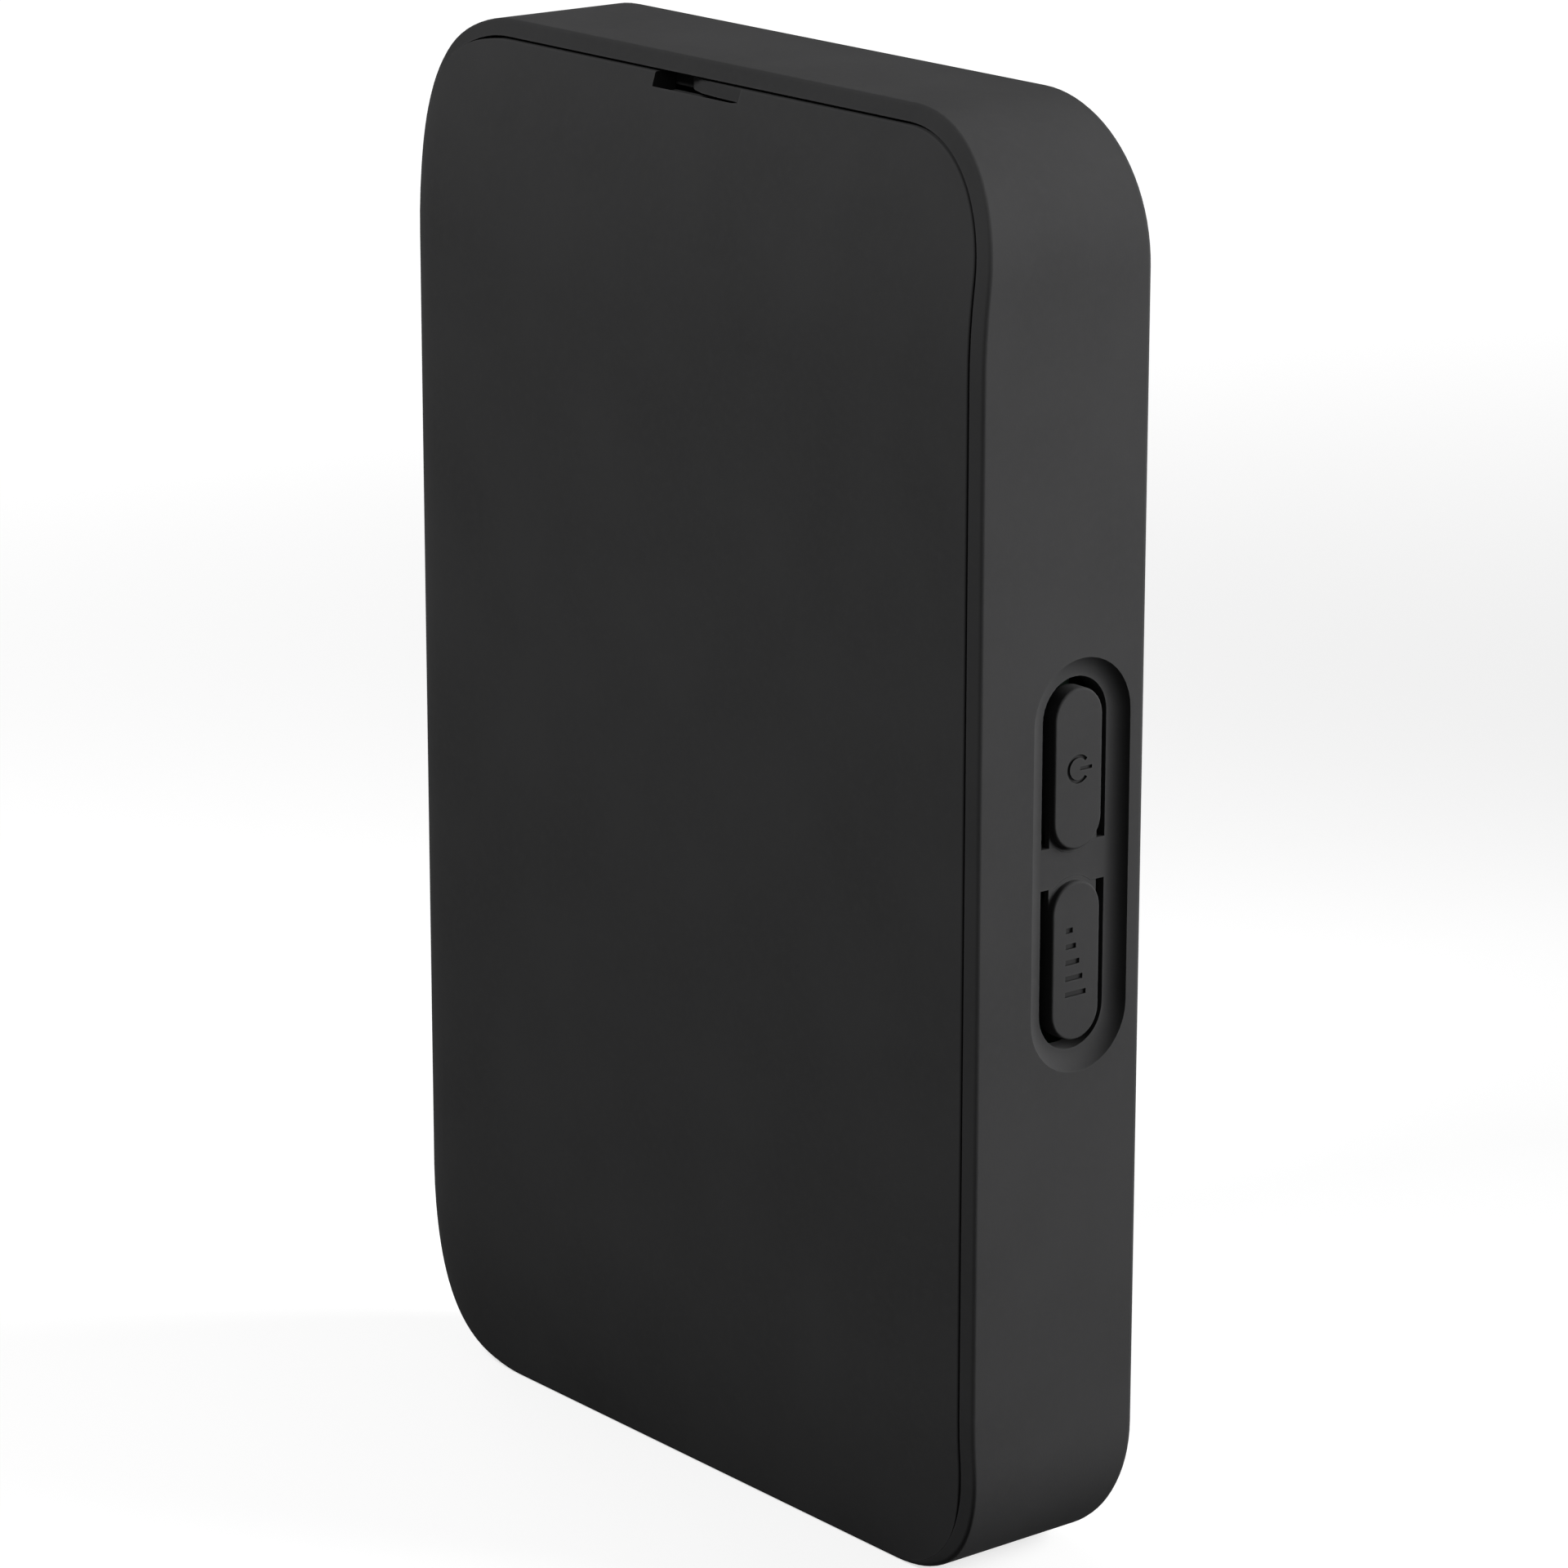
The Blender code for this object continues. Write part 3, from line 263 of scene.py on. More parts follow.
def rounded_loop(low, high, radii, corner_steps=CORNER_STEPS, side_step=SIDE_STEP):
    """Stations round a rectangle with rounded corners: each a place and the outward direction there."""
    corners = (
        ((high[0], high[1]), (-1, -1), 0),
        ((low[0], high[1]), (1, -1), 90),
        ((low[0], low[1]), (1, 1), 180),
        ((high[0], low[1]), (-1, 1), 270),
    )
    turns = []
    for (corner, inward, start), radius in zip(corners, radii):
        centre = Vector((corner[0] + inward[0] * radius, corner[1] + inward[1] * radius))
        for direction in arc((0, 0), 1, start, start + 90, corner_steps):
            turns.append((centre + radius * direction, direction))
    loop = []
    for (place, direction), (after, next_direction) in zip(turns, turns[1:] + turns[:1]):
        loop.append((place, direction))
        if (direction - next_direction).length < WELD:
            count = max(1, round((after - place).length / side_step))
            loop += [(place.lerp(after, step / count), direction) for step in range(1, count)]
    return loop


def drawn_in(loop, inset):
    """The outline inside a loop, at a distance."""
    return [place - inset * outward for place, outward in loop]


def body_loop(form):
    """The body's whole outline, as the face shows it."""
    return rounded_loop((-HALF_WIDTH, 0), (HALF_WIDTH, HEIGHT), (form.corner,) * 4)


def cover_loop(form, seam):
    """Inside the rim above and on the key side, by a seam, and out to the body elsewhere."""
    high = (HALF_WIDTH - form.rim_side - seam, HEIGHT - form.rim_top - seam)
    inner = form.corner - form.rim_side - seam
    return rounded_loop((-HALF_WIDTH, 0), high, (inner, form.corner, form.corner, form.corner))


def eased(value, low, high):
    """0 below a low value, 1 above a high one, and smooth between."""
    share = min(1.0, max(0.0, (value - low) / (high - low)))
    return share * share * (3 - 2 * share)


def seam_closing(outward):
    """How far the seam has closed up, as it runs out at the top left and the bottom right."""
    if outward.y >= 0:
        return eased(-outward.x, *TOP_LEFT_CLOSING)
    return eased(-outward.y, *BOTTOM_RIGHT_CLOSING)


def seam_width(form, outward):
    """Width of the joint round the cover, at one place."""
    return form.snug_seam - (form.snug_seam - form.closed_seam) * seam_closing(outward)


def cover_outline(form):
    """The cover's outline, with its seam closing up where it runs out."""
    loop = []
    for spot, outward in cover_loop(form, form.snug_seam):
        shift = form.snug_seam - seam_width(form, outward)
        if outward.y >= 0:
            spot = spot + Vector((0, shift))
        elif outward.x >= 0:
            spot = spot + Vector((shift, 0))
        loop.append((spot, outward))
    return loop


def body_edge(form, outward):
    """Rounding of the body's front edge: fine along the rim, and fuller where the cover wraps it."""
    if outward.x < 0 and outward.y < 0:
        return form.left_edge * outward.x**2 + form.bottom_edge * outward.y**2
    left = eased(-outward.x, *EDGE_GROWTH) * (form.left_edge - form.rim_edge)
    below = eased(-outward.y, *EDGE_GROWTH) * (form.bottom_edge - form.rim_edge)
    return form.rim_edge + left + below


def inside_body(form, spot):
    """How far a place lies inside the body's outline."""
    across = abs(spot.x) - HALF_WIDTH + form.corner
    upward = abs(spot.y - HEIGHT / 2) - HEIGHT / 2 + form.corner
    past = math.hypot(max(across, 0.0), max(upward, 0.0)) + min(max(across, upward), 0.0)
    return max(0.0, form.corner - past)


def middle_of(loop):
    """The middle of a loop's box."""
    xs = [place.x for place, _ in loop]
    zs = [place.y for place, _ in loop]
    return Vector(((min(xs) + max(xs)) / 2, (min(zs) + max(zs)) / 2))


# The crowned face


def roll(distance, run, drop):
    """How far a face has rolled back, along an arc, at a distance from its edge."""
    past = run - max(distance, 0.0)
    if past <= 0:
        return 0.0
    radius = (run**2 + drop**2) / (2 * drop)
    return radius - math.sqrt(radius**2 - past**2)


def crown_y(form, place):
    """The cover's face at a place across the body."""
    left = roll(place[0] + HALF_WIDTH, form.left_run, form.left_drop)
    top = roll(HEIGHT - place[1], form.top_run, form.top_drop)
    bottom = roll(place[1], form.bottom_run, form.bottom_drop)
    return FRONT_Y + left + top + bottom


def skirt_end_y(form):
    """Where the cover's skirt ends, past the face's deepest edge."""
    return max(crown_y(form, place) for place, _ in body_loop(form)) + form.skirt_reach


def ledge_y(form):
    """Where the housing's ledge lies, under the cover's skirt."""
    return skirt_end_y(form) + form.rest_gap


def tilt_at(form, place, outward):
    """How steeply the face rolls back towards its edge at a place."""
    step = 0.0001
    rise = crown_y(form, place) - crown_y(form, place - step * outward)
    return math.atan2(rise, step)


def face_rings(form, loop, insets, setback):
    """Rings of the crowned face from near its middle out to an inset of the loop."""
    middle = middle_of(loop)
    edge = [place - inset * outward for (place, outward), inset in zip(loop, insets)]
    rings = []
    for share in FACE_SHARES + (1.0,):
        ring = []
        for place in edge:
            at = middle + share * (place - middle)
            ring.append(Vector((at.x, crown_y(form, at) + setback, at.y)))
        rings.append(ring)
    return rings


def crowned_edge(form, loop, roundings, setback, steps):
    """How far in each edge rounding starts, and its rings from the crowned face down to the wall.

    A rounding is its radius and how far outside the loop it would end, where the wall trims it.
    """
    insets = []
    profiles = []
    for (place, outward), (radius, trim) in zip(loop, roundings):
        tilt = tilt_at(form, place - radius * outward, outward)
        inset = radius * (1 - math.sin(tilt)) - trim
        centre_y = crown_y(form, place - inset * outward) + setback + radius * math.cos(tilt)
        insets.append(inset)
        profiles.append((radius, trim, centre_y, math.pi / 2 - tilt, math.acos(1 - trim / radius)))
    rings = []
    for step in range(1, steps + 1):
        ring = []
        for (place, outward), (radius, trim, centre_y, start, end) in zip(loop, profiles):
            angle = start + (end - start) * step / steps
            at = place + (trim - radius * (1 - math.cos(angle))) * outward
            ring.append(Vector((at.x, centre_y - radius * math.sin(angle), at.y)))
        rings.append(ring)
    return insets, rings


# Meshes


def on_axis(axis, outline, level):
    """Points of a flat outline at a level: (y, z) for X, (x, z) for Y and (x, y) for Z."""
    if axis == "X":
        return [Vector((level, u, v)) for u, v in outline]
    if axis == "Y":
        return [Vector((u, level, v)) for u, v in outline]
    return [Vector((u, v, level)) for u, v in outline]


def add_piece(name, shape):
    """Makes an object of a finished bmesh."""
    bmesh.ops.remove_doubles(shape, verts=shape.verts, dist=WELD)
    bmesh.ops.recalc_face_normals(shape, faces=shape.faces)
    mesh = bpy.data.meshes.new(name)
    shape.to_mesh(mesh)
    shape.free()
    piece = bpy.data.objects.new(name, mesh)
    bpy.context.scene.collection.objects.link(piece)
    return piece


def loft(name, *shells):
    """One object of closed shells, each a skin through its rings with both ends closed."""
    shape = bmesh.new()
    for rings in shells:
        skins = [[shape.verts.new(point) for point in ring] for ring in rings]
        for near, far in zip(skins, skins[1:]):
            for at in range(len(near)):
                after = (at + 1) % len(near)
                shape.faces.new((near[at], near[after], far[after], far[at]))
        shape.faces.new(skins[0])
        shape.faces.new(skins[-1])
    return add_piece(name, shape)


def prism(axis, outline, low, high):
    """The two rings of a straight bar with a flat outline."""
    return [on_axis(axis, outline, low), on_axis(axis, outline, high)]


def block(low, high):
    """The two rings of a plain block, as part of a larger piece or a cutter."""
    outline = rectangle((low[0], low[2]), (high[0], high[2]))
    return prism("Y", outline, low[1], high[1])


def turned(centre, profile):
    """Rings of a round form along Y: a profile of (radius, y) about (x, z)."""
    return [on_axis("Y", arc(centre, radius, 0, 360, ROUND_STEPS)[:-1], y) for radius, y in profile]


def carve(piece, cutter, operation="DIFFERENCE"):
    """Cuts, or joins, another object into a piece, and removes it."""
    modifier = piece.modifiers.new("carve", "BOOLEAN")
    modifier.operation = operation
    modifier.solver = "EXACT"
    modifier.material_mode = "TRANSFER"
    modifier.object = cutter
    bpy.context.view_layer.update()
    graph = bpy.context.evaluated_depsgraph_get()
    mesh = bpy.data.meshes.new_from_object(piece.evaluated_get(graph))
    piece.modifiers.remove(modifier)
    if not mesh.polygons:
        raise RuntimeError(f"{piece.name} was lost when {cutter.name} was carved into it")
    old = piece.data
    mesh.name = piece.name
    piece.data = mesh
    bpy.data.meshes.remove(old)
    spent = cutter.data
    bpy.data.objects.remove(cutter, do_unlink=True)
    bpy.data.meshes.remove(spent)


def smooth(piece):
    """Shades the curved parts smooth and keeps the folds."""
    shape = bmesh.new()
    shape.from_mesh(piece.data)
    bmesh.ops.remove_doubles(shape, verts=shape.verts, dist=WELD)
    bmesh.ops.dissolve_degenerate(shape, edges=shape.edges, dist=WELD)
    shape.to_mesh(piece.data)
    shape.free()
    piece.data.shade_smooth()
    piece.data.set_sharp_from_angle(angle=SMOOTH_ANGLE)
    weigh(piece)


def weigh(piece):
    """Lets the large faces set the shading beside them."""
    modifier = piece.modifiers.new("even_shading", "WEIGHTED_NORMAL")
    modifier.keep_sharp = True
    modifier.weight = 100


def paint(piece, material):
    piece.data.materials.clear()
    piece.data.materials.append(material)


def hand_over(piece, body, slot_name, *nodes):
    """Hands a finished piece to the frame: puts it on its body and hides the nodes that it stands for. Its
    slot name is not used.
    """
    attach(piece, body)
    if nodes:
        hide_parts(*nodes)


def dress(name, material, edge):
    """Gives a node of the frame its material and a small rounding on its edges."""
    node = frame["nodes"][name]
    paint(node, material)
    weld = node.modifiers.new("joined_corners", "WELD")
    weld.merge_threshold = WELD
    bevel = node.modifiers.new("rounded_edges", "BEVEL")
    bevel.width = edge
    bevel.segments = 2
    bevel.limit_method = "ANGLE"
    bevel.angle_limit = EDGE_ANGLE
    weigh(node)


# Finishes

# Colours of the smaller pieces
STEEL = (0.55, 0.55, 0.56)
TIN = (0.62, 0.62, 0.60)
GOLD = (0.83, 0.62, 0.25)
SOCKET_BLACK = (0.015, 0.015, 0.016)
CAP_BLACK = (0.018, 0.018, 0.019)
SMOKED = (0.050, 0.053, 0.058)
LAMP_RESIN = (0.85, 0.83, 0.72)
MASK_GREEN = (0.010, 0.050, 0.024)
MASK_OVER_COPPER = (0.018, 0.095, 0.044)
PAD_DARK = (0.31, 0.33, 0.34)
PAD_PALE = (0.38, 0.40, 0.41)
FILM_AMBER = (0.42, 0.19, 0.035)
FILM_OVER_COPPER = (0.58, 0.30, 0.09)

# Sizes of the patterns in the finishes
MOULD_CLOUD = 0.009
MOULD_RUB = 0.00030
MOULD_RUB_PATCH = 0.0014
METAL_GRAIN = 0.00025
METAL_CLOUD = 0.004
METAL_RUB = 0.00012
# Grain of the painted shade in the keys' marks
MARK_SHADE_GRAIN = 0.00008
WRAP_CLOUD = 0.006
WRAP_CREASE = 0.0016
WRAP_GRAIN = 0.00012
MASK_ZONE = 0.007
MASK_GRAIN = 0.0006
PAD_CRUMB = 0.0005
FILM_GRAIN = 0.0005
RESIN_FLOW = 0.0022
RESIN_GRAIN = 0.0003

# Scale of the copper bands in the wave texture
MASK_RUNS = 320.0
FILM_RUNS = 150.0

# The battery's pale panel: how far it stays from the sides and ends, and how deep it goes
PANEL_SIDE = 0.006
PANEL_END = 0.016
PANEL_DEPTH = 0.0004

# How well the rounded and the true direction of a face agree, from a sharp fold to the flat
FOLD_RANGE = (0.80, 0.995)
# How much paler rubbed edges are
RUBBED = 1.35


class Finish:
    """A procedural material in the making. Places are the object's own, in metres."""

    def __init__(self, name):
        self.material = bpy.data.materials.new(name)
        self.material.use_nodes = True
        self.tree = self.material.node_tree
        self.shader = self.tree.nodes["Principled BSDF"]
        self.places = self.add("ShaderNodeTexCoord").outputs["Object"]

    def add(self, kind, **settings):
        """A new node of a kind, with its settings."""
        node = self.tree.nodes.new(kind)
        for name, value in settings.items():
            setattr(node, name, value)
        return node

    def link(self, source, target):
        self.tree.links.new(source, target)

    def stretched(self, scale):
        """The places, scaled along each axis to draw a pattern out."""
        mapping = self.add("ShaderNodeMapping")
        mapping.inputs["Scale"].default_value = scale
        self.link(self.places, mapping.inputs["Vector"])
        return mapping.outputs["Vector"]

    def noise(self, size, detail=2.0, along=None):
        """Cloudy noise of about a size, in metres."""
        node = self.add("ShaderNodeTexNoise")
        node.inputs["Scale"].default_value = 1 / size
        node.inputs["Detail"].default_value = detail
        self.link(along or self.places, node.inputs["Vector"])
        return node.outputs["Fac"]

    def cells(self, size):
        """Crumbs of about a size, in metres."""
        node = self.add("ShaderNodeTexVoronoi")
        node.inputs["Scale"].default_value = 1 / size
        self.link(self.places, node.inputs["Vector"])
        return node.outputs["Distance"]

    def between(self, source, low, high, from_low=0.3, from_high=0.7):
        """A value brought from one range into another."""
        node = self.add("ShaderNodeMapRange")
        node.inputs["From Min"].default_value = from_low
        node.inputs["From Max"].default_value = from_high
        node.inputs["To Min"].default_value = low
        node.inputs["To Max"].default_value = high
        self.link(source, node.inputs["Value"])
        return node.outputs["Result"]

    def sums(self, operation, first, second):
        """A sum of two values, each a number or another node's."""
        node = self.add("ShaderNodeMath", operation=operation)
        for socket, value in zip(node.inputs, (first, second)):
            if isinstance(value, (int, float)):
                socket.default_value = value
            else:
                self.link(value, socket)
        return node.outputs["Value"]

    def blended(self, share, first, second):
        """A mix of two colours, each a plain colour or another node's."""
        node = self.add("ShaderNodeMix", data_type="RGBA")
        self.link(share, node.inputs["Factor"])
        for socket, value in zip((node.inputs[6], node.inputs[7]), (first, second)):
            if isinstance(value, bpy.types.NodeSocket):
                self.link(value, socket)
            else:
                socket.default_value = (*value, 1.0)
        return node.outputs[2]

    def edges(self, width):
        """How near a place is to a fold, from 0 on the flat."""
        round_off = self.add("ShaderNodeBevel", samples=6)
        round_off.inputs["Radius"].default_value = width
        shape = self.add("ShaderNodeNewGeometry")
        turn = self.add("ShaderNodeVectorMath", operation="DOT_PRODUCT")
        self.link(round_off.outputs["Normal"], turn.inputs[0])
        self.link(shape.outputs["Normal"], turn.inputs[1])
        return self.between(turn.outputs["Value"], 1.0, 0.0, *FOLD_RANGE)

    def bump(self, height, depth, strength, under=None):
        """Relief of a pattern, over another relief if there is one."""
        node = self.add("ShaderNodeBump")
        node.inputs["Strength"].default_value = strength
        node.inputs["Distance"].default_value = depth
        self.link(height, node.inputs["Height"])
        if under is not None:
            self.link(under, node.inputs["Normal"])
        return node.outputs["Normal"]

    def use(self, colour=None, roughness=None, normal=None, **plain):
        """Joins the patterns to the shader, sets its plain values and gives the material."""
        for name, source in (("Base Color", colour), ("Roughness", roughness), ("Normal", normal)):
            if source is not None:
                self.link(source, self.shader.inputs[name])
        for name, value in plain.items():
            self.shader.inputs[name.replace("_", " ").title().replace("Ior", "IOR")].default_value = value
        return self.material


def shade_of(tint, share):
    """A paler or darker colour, for a share above or below 1."""
    return tuple(min(1.0, part * share) for part in tint)


def moulded(name, tint, finish, grain, roughness):
    """Moulded plastic: fine grain, cloudy gloss, and edges rubbed smooth and a little paler."""
    make = Finish(name)
    fine = make.noise(grain, 3.0)
    cloud = make.noise(MOULD_CLOUD, 3.0)
    speck = make.noise(grain * 4, 2.0)
    body = make.blended(make.between(cloud, 0.0, 1.0), shade_of(tint, 0.95), shade_of(tint, 1.05))
    body = make.blended(make.between(speck, 0.0, 0.5, 0.45, 0.75), body, shade_of(tint, 1.08))
    patches = make.between(make.noise(MOULD_RUB_PATCH), 0.15, 0.8)
    rubbed = make.sums("MULTIPLY", make.edges(MOULD_RUB), patches)
    body = make.blended(rubbed, body, shade_of(tint, RUBBED))
    gloss = make.between(cloud, roughness + 0.03, roughness - 0.03)
    gloss = make.sums("ADD", gloss, make.between(fine, -0.04, 0.04))
    gloss = make.sums("SUBTRACT", gloss, make.sums("MULTIPLY", rubbed, 0.10))
    relief = make.bump(fine, finish.relief, 0.5)
    return make.use(body, gloss, relief, specular_ior_level=finish.specular)


def plated(name, tint, roughness, grain=(1.0, 1.0, 1.0)):
    """Plated or rolled metal, with its grain drawn out along one way."""
    make = Finish(name)
    drawn = make.noise(METAL_GRAIN, 3.0, make.stretched(grain))
    cloud = make.noise(METAL_CLOUD, 2.0)
    body = make.blended(make.between(cloud, 0.0, 1.0), shade_of(tint, 0.90), shade_of(tint, 1.04))
    rubbed = make.edges(METAL_RUB)
    body = make.blended(make.sums("MULTIPLY", rubbed, 0.4), body, shade_of(tint, 1.2))
    gloss = make.sums(
        "ADD", make.between(drawn, roughness - 0.07, roughness + 0.09), make.between(cloud, -0.03, 0.03)
    )
    relief = make.bump(drawn, 0.000004, 0.4)
    return make.use(body, gloss, relief, metallic=1.0)


def painted_shade_finish(name, tint):
    """Painted shade in the keys' sunk marks: a near-black matt finish put where the engraving's shade
    falls.
    """
    make = Finish(name)
    fine = make.noise(MARK_SHADE_GRAIN, 2.0)
    body = make.blended(make.between(fine, 0.0, 1.0), shade_of(tint, 0.8), shade_of(tint, 1.3))
    relief = make.bump(fine, 0.000006, 0.5)
    return make.use(body, make.between(fine, 0.62, 0.72), relief, specular_ior_level=0.15)


def cell_wrap(name, tint):
    """Printed film round the battery, with a plain pale panel on the side towards the cover."""
    make = Finish(name)
    split = make.add("ShaderNodeSeparateXYZ")
    make.link(make.places, split.inputs["Vector"])
    half = (BATTERY_HIGH.x - BATTERY_LOW.x) / 2
    middle = (BATTERY_HIGH.z + BATTERY_LOW.z) / 2
    tall = (BATTERY_HIGH.z - BATTERY_LOW.z) / 2
    across = make.sums("ABSOLUTE", split.outputs["X"], 0.0)
    upward = make.sums("ABSOLUTE", make.sums("SUBTRACT", split.outputs["Z"], middle), 0.0)
    panel = make.sums(
        "MULTIPLY",
        make.sums("LESS_THAN", across, half - PANEL_SIDE),
        make.sums("LESS_THAN", upward, tall - PANEL_END),
    )
    outside = make.sums("LESS_THAN", split.outputs["Y"], BATTERY_LOW.y + PANEL_DEPTH)
    panel = make.sums("MULTIPLY", panel, outside)
    cloud = make.noise(WRAP_CLOUD, 3.0)
    film = make.blended(make.between(cloud, 0.0, 1.0), shade_of(tint, 0.88), shade_of(tint, 1.08))
    paper = make.blended(make.between(cloud, 0.0, 1.0), shade_of(tint, 2.3), shade_of(tint, 2.5))
    body = make.blended(panel, film, paper)
    crease = make.noise(WRAP_CREASE, 4.0, make.stretched((1.0, 1.0, 0.22)))
    relief = make.bump(make.noise(WRAP_GRAIN), 0.000005, 0.4, make.bump(crease, 0.00006, 0.35))
    return make.use(body, make.between(crease, 0.34, 0.50), relief, specular_ior_level=0.4)


def solder_mask(name):
    """Green board with paler copper runs under its lacquer."""
    make = Finish(name)
    runs = []
    for turn in ("X", "Z"):
        wave = make.add("ShaderNodeTexWave", bands_direction=turn)
        wave.inputs["Scale"].default_value = MASK_RUNS
        wave.inputs["Distortion"].default_value = 1.5
        wave.inputs["Detail Scale"].default_value = 0.4
        make.link(make.places, wave.inputs["Vector"])
        runs.append(make.between(wave.outputs["Fac"], 0.0, 1.0, 0.78, 0.84))
    zone = make.between(make.noise(MASK_ZONE, 1.0), 0.0, 1.0, 0.49, 0.51)
    copper = make.sums(
        "ADD",
        make.sums("MULTIPLY", runs[0], zone),
        make.sums("MULTIPLY", runs[1], make.sums("SUBTRACT", 1.0, zone)),
    )
    body = make.blended(copper, MASK_GREEN, MASK_OVER_COPPER)
    relief = make.bump(copper, 0.00002, 0.5)
    return make.use(body, make.between(make.noise(MASK_GRAIN), 0.30, 0.42), relief)


def soft_pad(name):
    """Crumbly soft pad that carries heat."""
    make = Finish(name)
    crumb = make.cells(PAD_CRUMB)
    body = make.blended(make.between(crumb, 0.0, 1.0, 0.1, 0.8), PAD_DARK, PAD_PALE)
    return make.use(body, make.between(crumb, 0.75, 0.90), make.bump(crumb, 0.00002, 0.6))


def film_strip(name):
    """Amber film with a copper run showing through it."""
    make = Finish(name)
    wave = make.add("ShaderNodeTexWave", bands_direction="DIAGONAL")
    wave.inputs["Scale"].default_value = FILM_RUNS
    make.link(make.places, wave.inputs["Vector"])
    run = make.between(wave.outputs["Fac"], 0.0, 1.0, 0.45, 0.55)
    body = make.blended(run, FILM_AMBER, FILM_OVER_COPPER)
    gloss = make.between(make.noise(FILM_GRAIN), 0.32, 0.46)
    return make.use(body, gloss, make.bump(run, 0.00001, 0.4))


def resin(name, tint, roughness):
    """Polished resin or clear plastic, with faint flow lines."""
    make = Finish(name)
    flow = make.noise(RESIN_FLOW, 2.0, make.stretched((0.25, 1.0, 1.0)))
    body = make.blended(make.between(flow, 0.0, 1.0), shade_of(tint, 0.92), shade_of(tint, 1.10))
    fine = make.noise(RESIN_GRAIN)
    gloss = make.between(fine, roughness - 0.03, roughness + 0.04)
    return make.use(body, gloss, make.bump(flow, 0.000006, 0.3), specular_ior_level=0.5)


def black_plastic(context, name, tint):
    """The satin black of the outside pieces."""
    finish = context.scene.hotspot_finish
    return moulded(name, tuple(tint), finish, finish.grain, finish.roughness)


# Pieces

# The rounding of the rim at the seam, in degrees
RIM_TURNS = (0, 20, 40, 60)
# The middle of a small fillet, as a share of its size
FILLET_MIDDLE = 0.3

# The socket's mouth, the light bar's window and flange, the screw bosses and the board's posts
SOCKET_WIDTH = 0.0032
SOCKET_ROOM = 1.7
SOCKET_FLARE = 0.0003
WINDOW_FLARE = 0.00015
BAR_FLANGE = 0.0012
BOSS_RADIUS = 0.0022
BOSS_HOLE = 0.0010
POST_RADIUS = 0.0015
POST_CHAMFER = 0.0002
POST_FOOT = 0.0004
POST_X = 0.0220
POST_Z = 0.0160
SCREW_COUNT = 4


